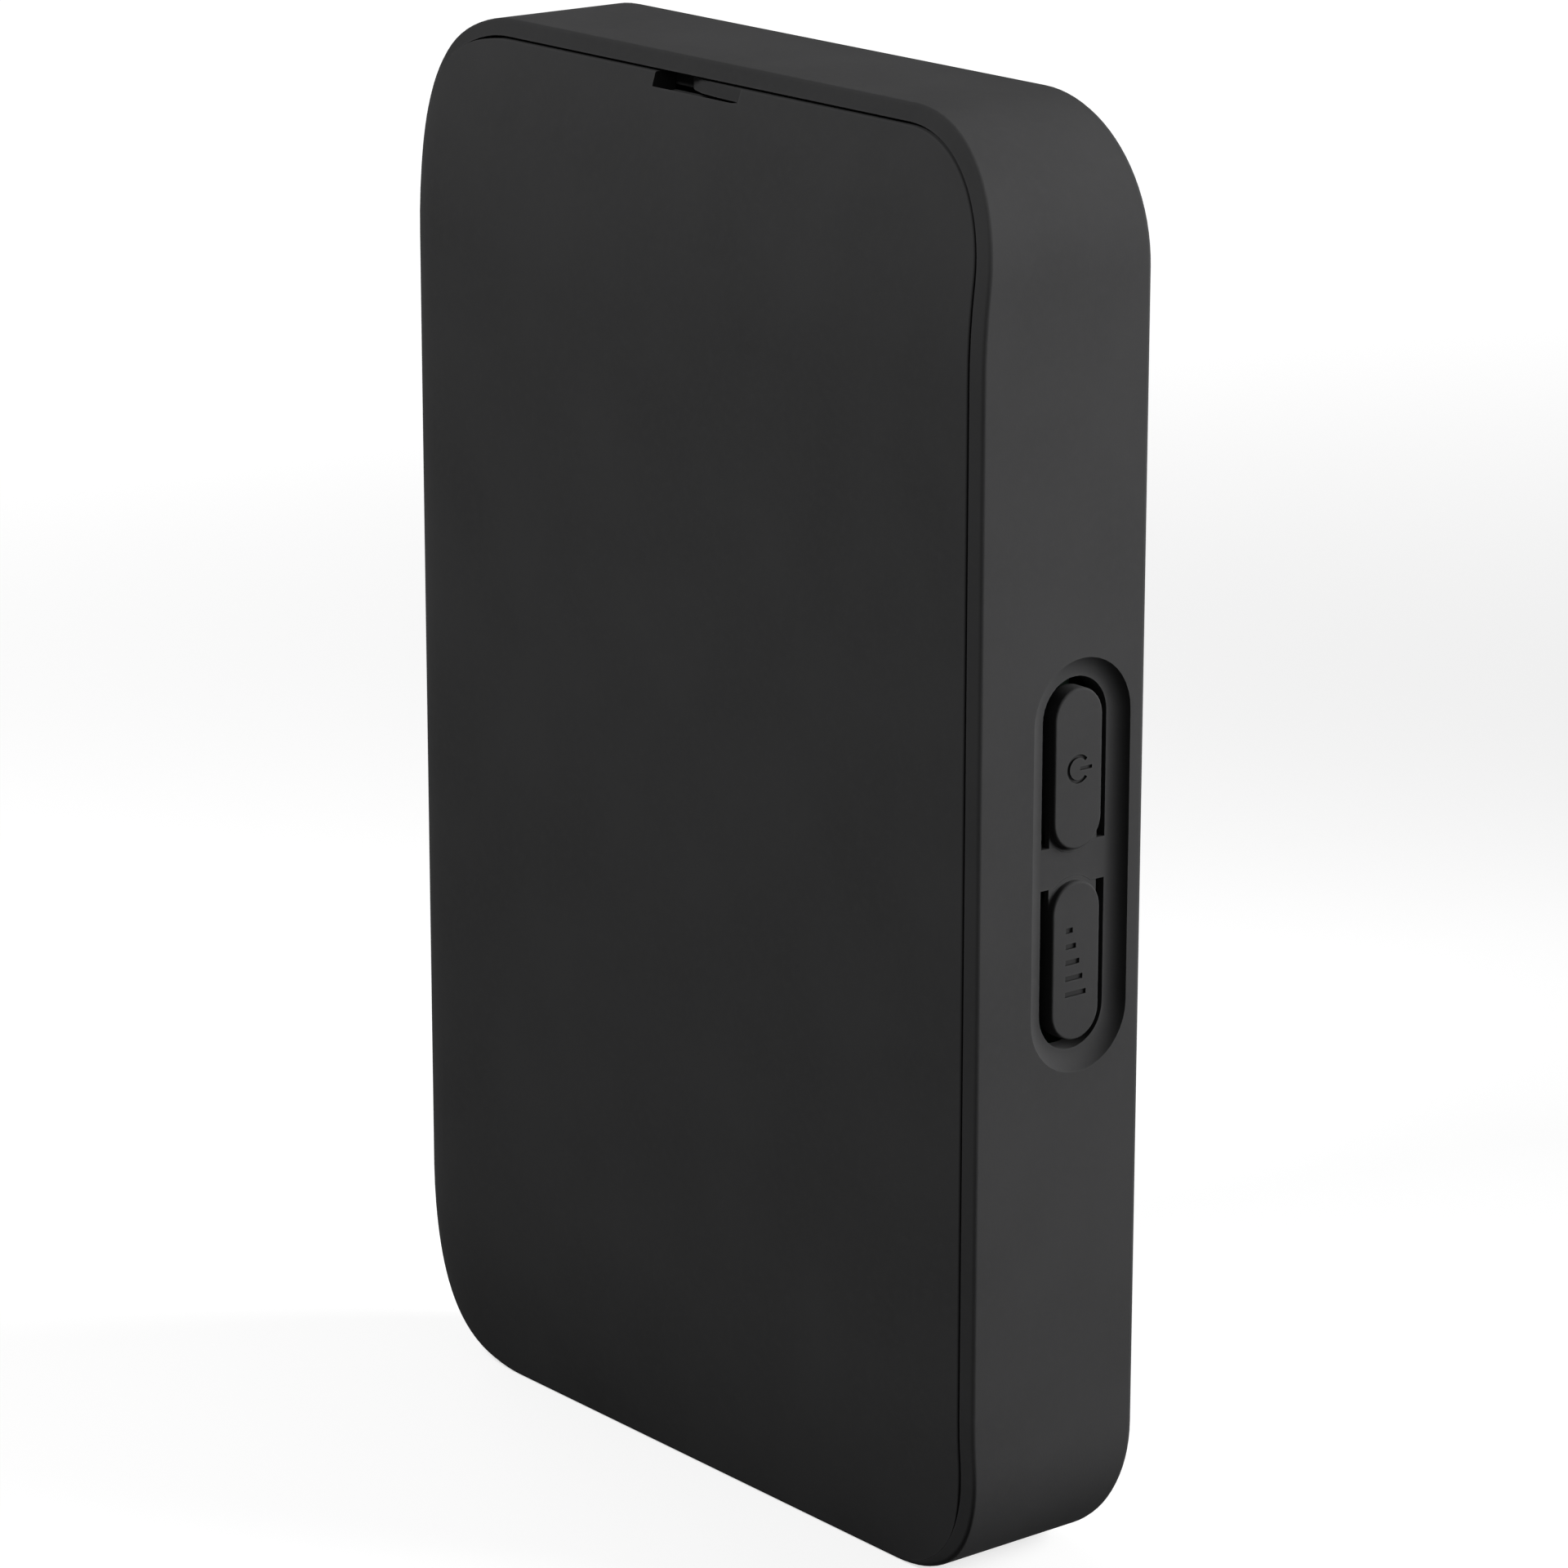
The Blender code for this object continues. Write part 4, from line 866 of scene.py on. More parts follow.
class HOTSPOT_OT_housing(bpy.types.Operator):
    """Build the housing with its rim, key recess, socket opening, window, bosses and posts"""

    bl_idname = "hotspot.build_housing"
    bl_label = "Build Housing"

    def execute(self, context):
        form = context.scene.hotspot_form
        keys = context.scene.hotspot_keys
        housing = self.shell(form)
        carve(housing, self.pocket(form))
        carve(housing, self.cover_seat(form))
        carve(housing, self.recess(keys))
        carve(housing, self.key_rooms(form, keys))
        carve(housing, self.socket_opening(form))
        carve(housing, self.window(form))
        carve(housing, self.bosses(form), "UNION")
        carve(housing, self.boss_holes(form))
        paint(housing, black_plastic(context, "moulded_housing", context.scene.hotspot_finish.housing))
        smooth(housing)
        hand_over(housing, "case", "housing_plastic", "main_housing")
        return {"FINISHED"}

    def shell(self, form):
        """The solid outside: far face, rounded far edge, side walls and the rim's crowned face."""
        loop = body_loop(form)
        roundings = [(body_edge(form, outward), 0.0) for _, outward in loop]
        insets, edge = crowned_edge(form, loop, roundings, form.rim_step, EDGE_STEPS)
        rings = face_rings(form, loop, insets, form.rim_step) + edge
        for inset, short in quarter_round(form.far_edge):
            rings.append(on_axis("Y", drawn_in(loop, inset), FAR_Y - short))
        return loft("housing", rings)

    def pocket(self, form):
        """The room inside, with a fillet round its floor."""
        loop = body_loop(form)
        floor_y = FAR_Y - form.far_plate
        rings = [on_axis("Y", drawn_in(loop, form.wall), FRONT_Y - 3 * OVERCUT)]
        for inset, short in quarter_round(form.far_edge):
            rings.append(on_axis("Y", drawn_in(loop, form.wall + inset), floor_y - short))
        return loft("pocket", rings)

    def cover_seat(self, form):
        """Room for the cover's skirt, opened a little at the rim's face, round a low lip inside it."""
        loop = cover_outline(form)
        outer = [spot + seam_width(form, outward) * outward for spot, outward in loop]
        rings = [on_axis("Y", outer, ledge_y(form))]
        for turn in RIM_TURNS:
            angle = math.radians(turn)
            ring = []
            for at, (_, outward) in zip(outer, loop):
                edge = max(form.rim_inner_edge * (1 - seam_closing(outward)), form.closed_seam)
                spread = at + edge * (1 - math.cos(angle)) * outward
                level = crown_y(form, at) + form.rim_step + edge * (1 - math.sin(angle))
                ring.append(Vector((spread.x, level, spread.y)))
            rings.append(ring)
        spread = form.rim_inner_edge * (1 - math.cos(math.radians(RIM_TURNS[-1]))) + OVERCUT / 2
        front = [spot + spread * outward for spot, (_, outward) in zip(outer, loop)]
        rings.append(on_axis("Y", front, FRONT_Y - 2 * OVERCUT))
        seat = loft("cover_seat", rings)
        inner = drawn_in(loop, form.skirt + form.gap)
        lip_y = ledge_y(form) - form.lip
        carve(seat, loft("lip", prism("Y", inner, lip_y, ledge_y(form) + OVERCUT)))
        return seat

    def recess(self, keys):
        """The stadium recess: its side is a hollow curve that meets the floor smoothly."""
        floor_x = HALF_WIDTH - keys.recess_depth
        depth, cove = keys.recess_depth, keys.recess_cove
        radius = (cove**2 + depth**2) / (2 * depth)
        long = KEY_MIDDLES[0] - KEY_MIDDLES[1] + KEY_LENGTH + 2 * keys.slot
        wide = KEY_WIDTH + 2 * keys.slot
        steps = 3 * EDGE_STEPS
        profile = []
        for step in range(steps):
            out = cove * step / steps
            level = floor_x + radius - math.sqrt(radius**2 - out**2)
            profile.append((level, out))
        steep = (HALF_WIDTH - profile[-1][0]) / (cove - profile[-1][1])
        profile.append((HALF_WIDTH + OVERCUT, cove + OVERCUT / steep))
        rings = []
        for level, out in profile:
            rings.append(on_axis("X", stadium((KEY_Y, KEYS_Z), long + 2 * out, wide + 2 * out), level))
        return loft("recess", rings)

    def key_rooms(self, form, keys):
        """Slots and room through the wall for both keys."""
        low = HALF_WIDTH - form.wall - OVERCUT
        high = HALF_WIDTH - keys.recess_depth + OVERCUT
        rooms = []
        for side, middle in zip((1, -1), KEY_MIDDLES):
            half = KEY_WIDTH / 2 + keys.slot
            tip_z = middle + side * (KEY_LENGTH - KEY_WIDTH) / 2
            root_z = KEYS_Z + side * keys.bridge / 2
            slot = arc((KEY_Y, tip_z), half, 0, side * 180, STADIUM_STEPS)
            slot += [Vector((KEY_Y - half, root_z)), Vector((KEY_Y + half, root_z))]
            rooms.append((slot, low, high))
        cutter = loft("key_slots", *(prism("X", *room) for room in rooms))
        for middle in KEY_MIDDLES:
            snug = stadium((KEY_Y, middle), KEY_LENGTH + 2 * form.gap, KEY_WIDTH + 2 * form.gap)
            carve(cutter, loft("key_room", prism("X", snug, low - OVERCUT, high + OVERCUT)), "UNION")
        return cutter

    def socket_opening(self, form):
        """The socket's mouth, with a small chamfer round it."""
        middle = (0.0, (SOCKET_LOW.y + SOCKET_HIGH.y) / 2)
        long = SOCKET_HIGH.x - SOCKET_LOW.x + SOCKET_ROOM * form.gap
        wide = SOCKET_WIDTH + SOCKET_ROOM * form.gap
        profile = (
            (form.wall + OVERCUT, 0.0),
            (SOCKET_FLARE, 0.0),
            (-OVERCUT, SOCKET_FLARE + OVERCUT),
        )
        rings = []
        for level, out in profile:
            rings.append(on_axis("Z", flat_stadium(middle, long + 2 * out, wide + 2 * out), level))
        return loft("socket_opening", rings)

    def window(self, form):
        """The light bar's window, with a fine chamfer outside."""
        middle = (0.0, (BAR_LOW.z + BAR_HIGH.z) / 2)
        long, wide = window_size(form)
        outline = flat_stadium(middle, long, wide)
        flared = flat_stadium(middle, long + 2 * OVERCUT, wide + 2 * OVERCUT)
        flare_y = FAR_Y - WINDOW_FLARE
        rings = [
            on_axis("Y", outline, FAR_Y - form.far_plate - OVERCUT),
            on_axis("Y", outline, flare_y),
            on_axis("Y", flared, flare_y + OVERCUT),
        ]
        return loft("window", rings)

    def bosses(self, form):
        """Screw bosses at the corners and posts that carry the board, each with a foot fillet."""
        floor_y = FAR_Y - form.far_plate
        sunk_y = floor_y + form.far_plate / 2
        boss = post_profile(BOSS_RADIUS, TRAY_BACK_Y + form.gap, floor_y, sunk_y)
        post = post_profile(POST_RADIUS, BOARD_BACK_Y + form.gap, floor_y, sunk_y)
        shells = [turned(centre, boss) for centre in screw_places()]
        shells += [turned(centre, post) for centre in post_places()]
        return loft("bosses", *shells)

    def boss_holes(self, form):
        """A hole in each boss, a little deeper than its screw."""
        shells = []
        for number, centre in enumerate(screw_places(), 1):
            end_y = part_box(f"frame_screw_{number}")[1].y + form.gap
            shells.append(turned(centre, ((BOSS_HOLE, TRAY_BACK_Y - OVERCUT), (BOSS_HOLE, end_y))))
        return loft("boss_holes", *shells)


def screw_places():
    """Middles of the screws, and of their bosses."""
    found = []
    for number in range(1, SCREW_COUNT + 1):
        low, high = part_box(f"frame_screw_{number}")
        found.append(((low.x + high.x) / 2, (low.z + high.z) / 2))
    return found


def post_places():
    """Middles of the posts that carry the board."""
    return [(side * POST_X, level) for level in (POST_Z, HEIGHT - POST_Z) for side in (-1, 1)]


def post_profile(radius, top_y, floor_y, sunk_y):
    """A post with a chamfered top and a small foot."""
    belly = POST_FOOT * FILLET_MIDDLE
    return (
        (radius - POST_CHAMFER, top_y),
        (radius, top_y + POST_CHAMFER),
        (radius, floor_y - POST_FOOT),
        (radius + belly, floor_y - belly),
        (radius + POST_FOOT, floor_y),
        (radius + POST_FOOT, sunk_y),
    )


def window_size(form):
    """Length and width of the light bar's window."""
    long = BAR_HIGH.x - BAR_LOW.x - 2 * BAR_FLANGE
    wide = BAR_HIGH.z - BAR_LOW.z - 2 * BAR_FLANGE
    return long + 2 * form.gap, wide + 2 * form.gap


# The notch's scoop, from its shallow end: place along its width, and share of its depth
SCOOP = ((1.0, 0.0), (0.72, 0.06), (0.48, 0.20), (0.32, 0.50), (0.18, 1.0), (0.0, 1.0))

# The fillet inside the cover, and its snap tabs
COVER_FILLET = 0.0003
TAB_THICKNESS = 0.0010
TAB_HALF = 0.003
TAB_APART = 0.014
TAB_TAPER = 0.0004
TAB_DRAFT = 0.0001


class HOTSPOT_OT_cover(bpy.types.Operator):
    """Build the crowned battery cover with its skirt, snap tabs and pry notch"""

    bl_idname = "hotspot.build_cover"
    bl_label = "Build Battery Cover"

    def execute(self, context):
        form = context.scene.hotspot_form
        cover = self.shell(form)
        carve(cover, self.notch(form))
        carve(cover, self.tabs(form), "UNION")
        paint(cover, black_plastic(context, "moulded_cover", context.scene.hotspot_finish.cover))
        smooth(cover)
        hand_over(cover, "cover", "cover_plastic", "battery_cover")
        return {"FINISHED"}

    def rounding(self, form, spot, outward):
        """The body's own rounding where the cover reaches it, and a fine one along the seam."""
        radius = body_edge(form, outward)
        trim = inside_body(form, spot)
        if trim < radius * (1 - math.sin(tilt_at(form, spot - radius * outward, outward))):
            return radius, trim
        return max(form.seam_edge * (1 - seam_closing(outward)), form.closed_seam), 0.0

    def shell(self, form):
        """The crowned face, its edge, the skirt and the hollow behind them."""
        loop = cover_outline(form)
        roundings = [self.rounding(form, spot, outward) for spot, outward in loop]
        insets, edge = crowned_edge(form, loop, roundings, 0.0, 2 * EDGE_STEPS)
        rings = face_rings(form, loop, insets, 0.0) + edge
        end_y = skirt_end_y(form)
        corner = form.seam_edge
        for start in (0, 90):
            for step in range(EDGE_STEPS + 1):
                angle = math.radians(start + 90 * step / EDGE_STEPS)
                across = corner if start == 0 else form.skirt - corner
                inset = across - corner * math.cos(angle)
                rings.append(on_axis("Y", drawn_in(loop, inset), end_y - corner + corner * math.sin(angle)))
        inside = face_rings(form, loop, [form.skirt + COVER_FILLET] * len(loop), form.cover_plate)
        belly = FILLET_MIDDLE * COVER_FILLET
        for inset, rise in ((form.skirt, COVER_FILLET), (form.skirt + belly, belly)):
            ring = []
            for at, level in zip(drawn_in(loop, inset), inside[-1]):
                ring.append(Vector((at.x, level.y + rise, at.y)))
            rings.append(ring)
        return loft("cover", rings + inside[::-1])

    def notch(self, form):
        """A finger-nail notch in the top edge: a scoop, deep at one end, with a slit along its foot."""
        middle = (COVER_LOW.x + COVER_HIGH.x) / 2 + form.notch_offset
        low_z = COVER_HIGH.z - form.notch_height
        face_y = crown_y(form, (middle, low_z))
        left, right = middle - form.notch_width / 2, middle + form.notch_width / 2
        front = FRONT_Y - OVERCUT
        outline = [Vector((left, front)), Vector((right, front))]
        for along, share in SCOOP:
            depth = form.notch_shallow + share * (form.notch_deep - form.notch_shallow)
            outline.append(Vector((left + along * form.notch_width, face_y + depth)))
        notch = loft("notch", prism("Z", outline, low_z, COVER_HIGH.z + OVERCUT))
        deep_y = face_y + form.notch_deep
        top_z = low_z + form.notch_slit
        under_z = low_z - form.notch_under
        slit = [(front, low_z), (face_y, low_z), (face_y + 2 * form.notch_under, under_z)]
        slit += [(deep_y, under_z), (deep_y, top_z), (front, top_z)]
        carve(notch, loft("slit", prism("X", slit, left, right - form.notch_end)), "UNION")
        return notch

    def tabs(self, form):
        """Snap tabs that stand inside the side walls."""
        shells = []
        for side in (-1, 1):
            outer = side * (HALF_WIDTH - form.wall - form.gap)
            inner = outer - side * TAB_THICKNESS
            low_x, high_x = min(outer, inner), max(outer, inner)
            for level in (HEIGHT / 2 - TAB_APART, HEIGHT / 2 + TAB_APART):
                root_y = crown_y(form, (outer, level)) + form.cover_plate / 2
                low_z, high_z = level - TAB_HALF, level + TAB_HALF
                wide = rectangle((low_x, low_z), (high_x, high_z))
                slim = rectangle(
                    (low_x + TAB_DRAFT, low_z + TAB_TAPER),
                    (high_x - TAB_DRAFT, high_z - TAB_TAPER),
                )
                rings = [
                    on_axis("Y", wide, root_y),
                    on_axis("Y", wide, COVER_HIGH.y - TAB_TAPER),
                    on_axis("Y", slim, COVER_HIGH.y),
                ]
                shells.append(rings)
        return loft("tabs", *shells)


# The keys' plate behind the recess's floor, the power ring's half opening in degrees, its bar's ends as
# shares of its radius, and the signal bars, whose width is a share of the marks' line
KEY_PLATE = 0.0010
RING_OPENING = 40
RING_BAR = (0.15, 1.35)
SIGNAL_BARS = 5
SIGNAL_PITCH = 0.0011
SIGNAL_FOOT = 0.0009
SIGNAL_SHORTEST = 0.0006
SIGNAL_RISE = 0.0003
SIGNAL_LINE = 0.75


class HOTSPOT_OT_keys(bpy.types.Operator):
    """Build the two side keys with their posts, thin hinges and sunk marks"""

    bl_idname = "hotspot.build_keys"
    bl_label = "Build Side Keys"

    def execute(self, context):
        form = context.scene.hotspot_form
        keys = context.scene.hotspot_keys
        finish = context.scene.hotspot_finish
        plastic = black_plastic(context, "moulded_key", finish.keys)
        painted_mark_shade = painted_shade_finish("mark_ink", tuple(finish.painted_mark_shade))
        rows = (
            ("power", 1, KEY_MIDDLES[0], self.power_mark),
            ("network", -1, KEY_MIDDLES[1], self.signal_mark),
        )
        for name, side, middle, mark in rows:
            key = self.pad(keys, name + "_key_pad", middle)
            carve(key, self.hinge(form, keys, side, middle), "UNION")
            paint(key, plastic)
            cutter = mark(keys, middle)
            # The marks' cut faces are painted near black, as painted shade in the sunk lines.
            paint(cutter, painted_mark_shade)
            carve(key, cutter)
            smooth(key)
            hand_over(key, name + "_button", "key_plastic", name + "_key")
        return {"FINISHED"}

    def pad(self, keys, name, middle):
        """A raised stadium with a rounded edge, and the round post behind it."""
        centre = (KEY_Y, middle)
        plate_low = HALF_WIDTH - keys.recess_depth - KEY_PLATE
        rings = prism("X", self.post_outline(keys, centre), KEY_LOW.x, plate_low)
        for inset, level in ((keys.edge, plate_low), (0.0, plate_low + keys.edge)):
            rings.append(on_axis("X", self.outline(centre, inset), level))
        for inset, short in quarter_round(keys.edge):
            rings.append(on_axis("X", self.outline(centre, inset), self.face_x(keys) - short))
        return loft(name, rings)

    def face_x(self, keys):
        """Where the keys' faces stand."""
        return HALF_WIDTH - keys.recess_depth + keys.proud

    def outline(self, centre, inset):
        """A key's outline, drawn in."""
        return stadium(centre, KEY_LENGTH - 2 * inset, KEY_WIDTH - 2 * inset)

    def post_outline(self, keys, centre):
        """A circle with as many points as the pad's outline."""
        upper = arc(centre, keys.post, 0, 180 - 180 / (STADIUM_STEPS + 1), STADIUM_STEPS)
        return upper + arc(centre, keys.post, 180, 360 - 180 / (STADIUM_STEPS + 1), STADIUM_STEPS)

    def hinge(self, form, keys, side, middle):
        """The thin web that joins a key's root to the bridge, level with the recess's floor."""
        floor_x = HALF_WIDTH - keys.recess_depth
        half = KEY_WIDTH / 2
        turn_z = middle - side * (KEY_LENGTH / 2 - half)
        slot_end = KEYS_Z + side * (keys.bridge / 2 + keys.fit)
        reach = half + form.gap - keys.fit
        swing = math.degrees(math.acos(abs(turn_z - slot_end) / reach))
        outline = [(KEY_Y - half, turn_z), (KEY_Y - half, slot_end)]
        outline += arc((KEY_Y, turn_z), reach, -side * (90 + swing), -side * (90 - swing), EDGE_STEPS * 3)
        outline += [(KEY_Y + half, slot_end), (KEY_Y + half, turn_z)]
        return loft("hinge", prism("X", outline, floor_x - keys.web, floor_x))

    def power_mark(self, keys, middle):
        """An open ring with a bar in its gap, as on any power key, with its top towards the far face."""
        line = keys.mark_line / 2
        low, high = self.face_x(keys) - keys.mark_depth, self.face_x(keys) + OVERCUT
        centre = (KEY_Y, middle)
        outer = arc(centre, keys.ring + line, RING_OPENING, 360 - RING_OPENING, ROUND_STEPS)
        inner = arc(centre, keys.ring - line, 360 - RING_OPENING, RING_OPENING, ROUND_STEPS)
        foot, top = (KEY_Y + keys.ring * end for end in RING_BAR)
        bar = rectangle((foot, middle - line), (top, middle + line))
        return loft("power_mark", prism("X", outer + inner, low, high), prism("X", bar, low, high))

    def signal_mark(self, keys, middle):
        """Five rising bars, with their feet towards the cover."""
        low, high = self.face_x(keys) - keys.mark_depth, self.face_x(keys) + OVERCUT
        half = keys.mark_line * SIGNAL_LINE
        foot = KEY_Y - SIGNAL_FOOT
        shells = []
        for step in range(SIGNAL_BARS):
            level = middle + ((SIGNAL_BARS - 1) / 2 - step) * SIGNAL_PITCH
            head = foot + SIGNAL_SHORTEST + SIGNAL_RISE * step
            bar = rectangle((foot, level - half), (head, level + half))
            shells.append(prism("X", bar, low, high))
        return loft("signal_mark", *shells)


# The battery's sleeve, caps and contact pads
SLEEVE_FOOT = 0.0008
SLEEVE_HEAD = 0.0034
SLEEVE_CORNER = 0.0012
SLEEVE_EDGE = 0.0003
CAP_INSET = 0.00012
CAP_CORNER = 0.0011
CAP_EDGE = 0.0004
HEAD_CAP = 0.0036
FOOT_CAP = 0.0010
BAR_CORNER_STEPS = 8
BAR_SIDE_STEP = 0.004
PAD_HALF_X = 0.0013
PAD_HALF_Y = 0.0011
PAD_CORNER = 0.0003
PAD_ROOM = 0.0005
PAD_SUNK = 0.0003
PAD_THICKNESS = 0.0003
PAD_EDGE = 0.00005
PAD_FIT = 0.0001
PAD_TOP_FIT = 0.00016
CONTACT_COUNT = 3


class HOTSPOT_OT_battery(bpy.types.Operator):
    """Build the battery: wrapped cell, end caps and contact pads"""

    bl_idname = "hotspot.build_battery"
    bl_label = "Build Battery"

    def execute(self, context):
        finish = context.scene.hotspot_finish
        low, high = BATTERY_LOW, BATTERY_HIGH
        ends = (low.z + SLEEVE_FOOT, high.z - SLEEVE_HEAD)
        sleeve = self.bar("battery_sleeve", 0.0, ends, SLEEVE_CORNER, SLEEVE_EDGE)
        paint(sleeve, cell_wrap("cell_wrap", tuple(finish.wrap)))
        smooth(sleeve)
        hand_over(sleeve, "battery", "cell_wrap", "battery_pack")
        plastic = moulded("battery_cap", CAP_BLACK, finish, finish.grain, roughness=0.5)
        head = self.bar("battery_head", CAP_INSET, (high.z - HEAD_CAP, high.z), CAP_CORNER, CAP_EDGE)
        carve(head, self.pad_rooms())
        foot = self.bar("battery_foot", CAP_INSET, (low.z, low.z + FOOT_CAP), CAP_CORNER, CAP_EDGE)
        for cap in (head, foot):
            paint(cap, plastic)
            smooth(cap)
            hand_over(cap, "battery", "socket_plastic")
        pads = loft("battery_pads", *(self.pad(x) for x in contact_places()))
        paint(pads, plated("gold_flash", GOLD, roughness=0.28))
        smooth(pads)
        hand_over(pads, "battery", "gold_plate")
        return {"FINISHED"}

    def bar(self, name, inset, ends, corner, edge):
        """A flat bar along Z with rounded long edges and softened ends."""
        low = (BATTERY_LOW.x + inset, BATTERY_LOW.y + inset)
        high = (BATTERY_HIGH.x - inset, BATTERY_HIGH.y - inset)
        loop = rounded_loop(low, high, (corner,) * 4, BAR_CORNER_STEPS, BAR_SIDE_STEP)
        rings = []
        for away, drawn in quarter_round(edge):
            rings.append(on_axis("Z", drawn_in(loop, drawn), ends[0] + away))
        for away, drawn in reversed(quarter_round(edge)):
            rings.append(on_axis("Z", drawn_in(loop, drawn), ends[1] - away))
        return loft(name, rings)

    def pad_outline(self, x, fit):
        """A contact pad's outline, smaller than its room by a fit all round."""
        half_x, half_y = PAD_HALF_X - fit, PAD_HALF_Y - fit
        middle_y = (BATTERY_LOW.y + BATTERY_HIGH.y) / 2
        low = (x - half_x, middle_y - half_y)
        high = (x + half_x, middle_y + half_y)
        return rounded_outline(low, high, PAD_CORNER)

    def pad_rooms(self):
        """The rooms for the contact pads in the head cap."""
        low, high = BATTERY_HIGH.z - PAD_ROOM, BATTERY_HIGH.z + OVERCUT
        rooms = [prism("Z", self.pad_outline(x, 0.0), low, high) for x in contact_places()]
        return loft("pad_rooms", *rooms)

    def pad(self, x):
        """A contact pad, with a fine edge on top."""
        top = BATTERY_HIGH.z - PAD_SUNK
        outline = self.pad_outline(x, PAD_FIT)
        return [
            on_axis("Z", outline, top - PAD_THICKNESS),
            on_axis("Z", outline, top - PAD_EDGE),
            on_axis("Z", self.pad_outline(x, PAD_TOP_FIT), top),
        ]


def contact_places():
    """Where the contact leaves stand along X."""
    found = []
    for number in range(1, CONTACT_COUNT + 1):
        low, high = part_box(f"battery_contact_{number}")
        found.append((low.x + high.x) / 2)
    return found


def rounded_outline(low, high, radius):
    """A small rectangle with rounded corners."""
    return [at for at, _ in rounded_loop(low, high, (radius,) * 4, EDGE_STEPS, SMALL_STEP)]


# The screws: head, shank, thread and cross recess
HEAD_HEIGHT = 0.0009
HEAD_DOME = 0.55
HEAD_RIM = 0.85
HEAD_CHAMFER = 0.0001
DOME_TURNS = (20, 35, 50, 65, 78, 90)
SHANK_RADIUS = 0.0007
THREAD_PITCH = 0.0004
THREAD_ROOT = 0.86
THREAD_CREST = (0.45, 0.55)
SCREW_POINT = 0.5
CROSS_ARM = 0.00095
CROSS_HALF = 0.0002
# The cross recess going in: share of its arms, and depth below the head's top
CROSS_PROFILE = ((1.25, -0.0002), (1.0, 0.00015), (0.45, 0.00062))


class HOTSPOT_OT_screws(bpy.types.Operator):
    """Build the four pan-head screws with their cross recess"""

    bl_idname = "hotspot.build_screws"
    bl_label = "Build Screws"

    def execute(self, context):
        steel = plated("bright_steel", STEEL, roughness=0.30)
        for number, centre in enumerate(screw_places(), 1):
            low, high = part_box(f"frame_screw_{number}")
            screw = loft(f"screw_{number}", turned(centre, self.profile(low, high)))
            carve(screw, self.cross(centre, low.y))
            paint(screw, steel)
            smooth(screw)
            hand_over(screw, "case", "steel", f"frame_screw_{number}")
        return {"FINISHED"}

    def profile(self, low, high):
        """From the domed head down to the threaded shank's point, as (radius, y)."""
        head = (high.x - low.x) / 2
        neck_y = low.y + HEAD_HEIGHT
        points = []
        for turn in DOME_TURNS:
            angle = math.radians(turn)
            dome_y = low.y + HEAD_HEIGHT * HEAD_DOME * (1 - math.cos(angle))
            points.append((head * math.sin(angle), dome_y))
        points.append((head, low.y + HEAD_HEIGHT * HEAD_RIM))
        points += [(head - HEAD_CHAMFER, neck_y), (SHANK_RADIUS, neck_y)]
        root = SHANK_RADIUS * THREAD_ROOT
        level = neck_y + THREAD_PITCH
        while level + THREAD_PITCH < high.y - THREAD_PITCH:
            points.append((root, level))
            points += [(SHANK_RADIUS, level + THREAD_PITCH * crest) for crest in THREAD_CREST]
            level += THREAD_PITCH
        points += [(root, level), (SHANK_RADIUS * SCREW_POINT, high.y)]
        return points

    def cross(self, centre, top_y):
        """A cross recess that narrows as it goes in."""
        shells = []
        for upright in (False, True):
            rings = []
            for share, depth in CROSS_PROFILE:
                half = (CROSS_ARM * share, CROSS_HALF)
                if upright:
                    half = half[::-1]
                low = (centre[0] - half[0], centre[1] - half[1])
                high = (centre[0] + half[0], centre[1] + half[1])
                rings.append(on_axis("Y", rectangle(low, high), top_y + depth))
            shells.append(rings)
        cutter = loft("cross_bar", shells[0])
        carve(cutter, loft("cross_arm", shells[1]), "UNION")
        return cutter


# The socket's tube, tail, tongue and contacts
SOCKET_SKIN = 0.0004
SOCKET_BACK = 0.0009
SOCKET_DEPTH = 0.0084
TAIL_HALF = 0.003
TAIL_THICKNESS = 0.0004
# From the tongue's tip: distance along it, and how far it is drawn in there
TONGUE_TIP = ((0.0, 0.00022), (0.0003, 0.00006), (0.0006, 0.0))
TONGUE_CORNER = 0.0001
STRIP_COUNT = 12
STRIP_PITCH = 0.0005
STRIP_HALF = 0.00013
STRIP_SUNK = 0.0001
STRIP_PROUD = 0.00005
STRIP_FROM_TIP = 0.0007
STRIP_FROM_ROOT = 0.0006


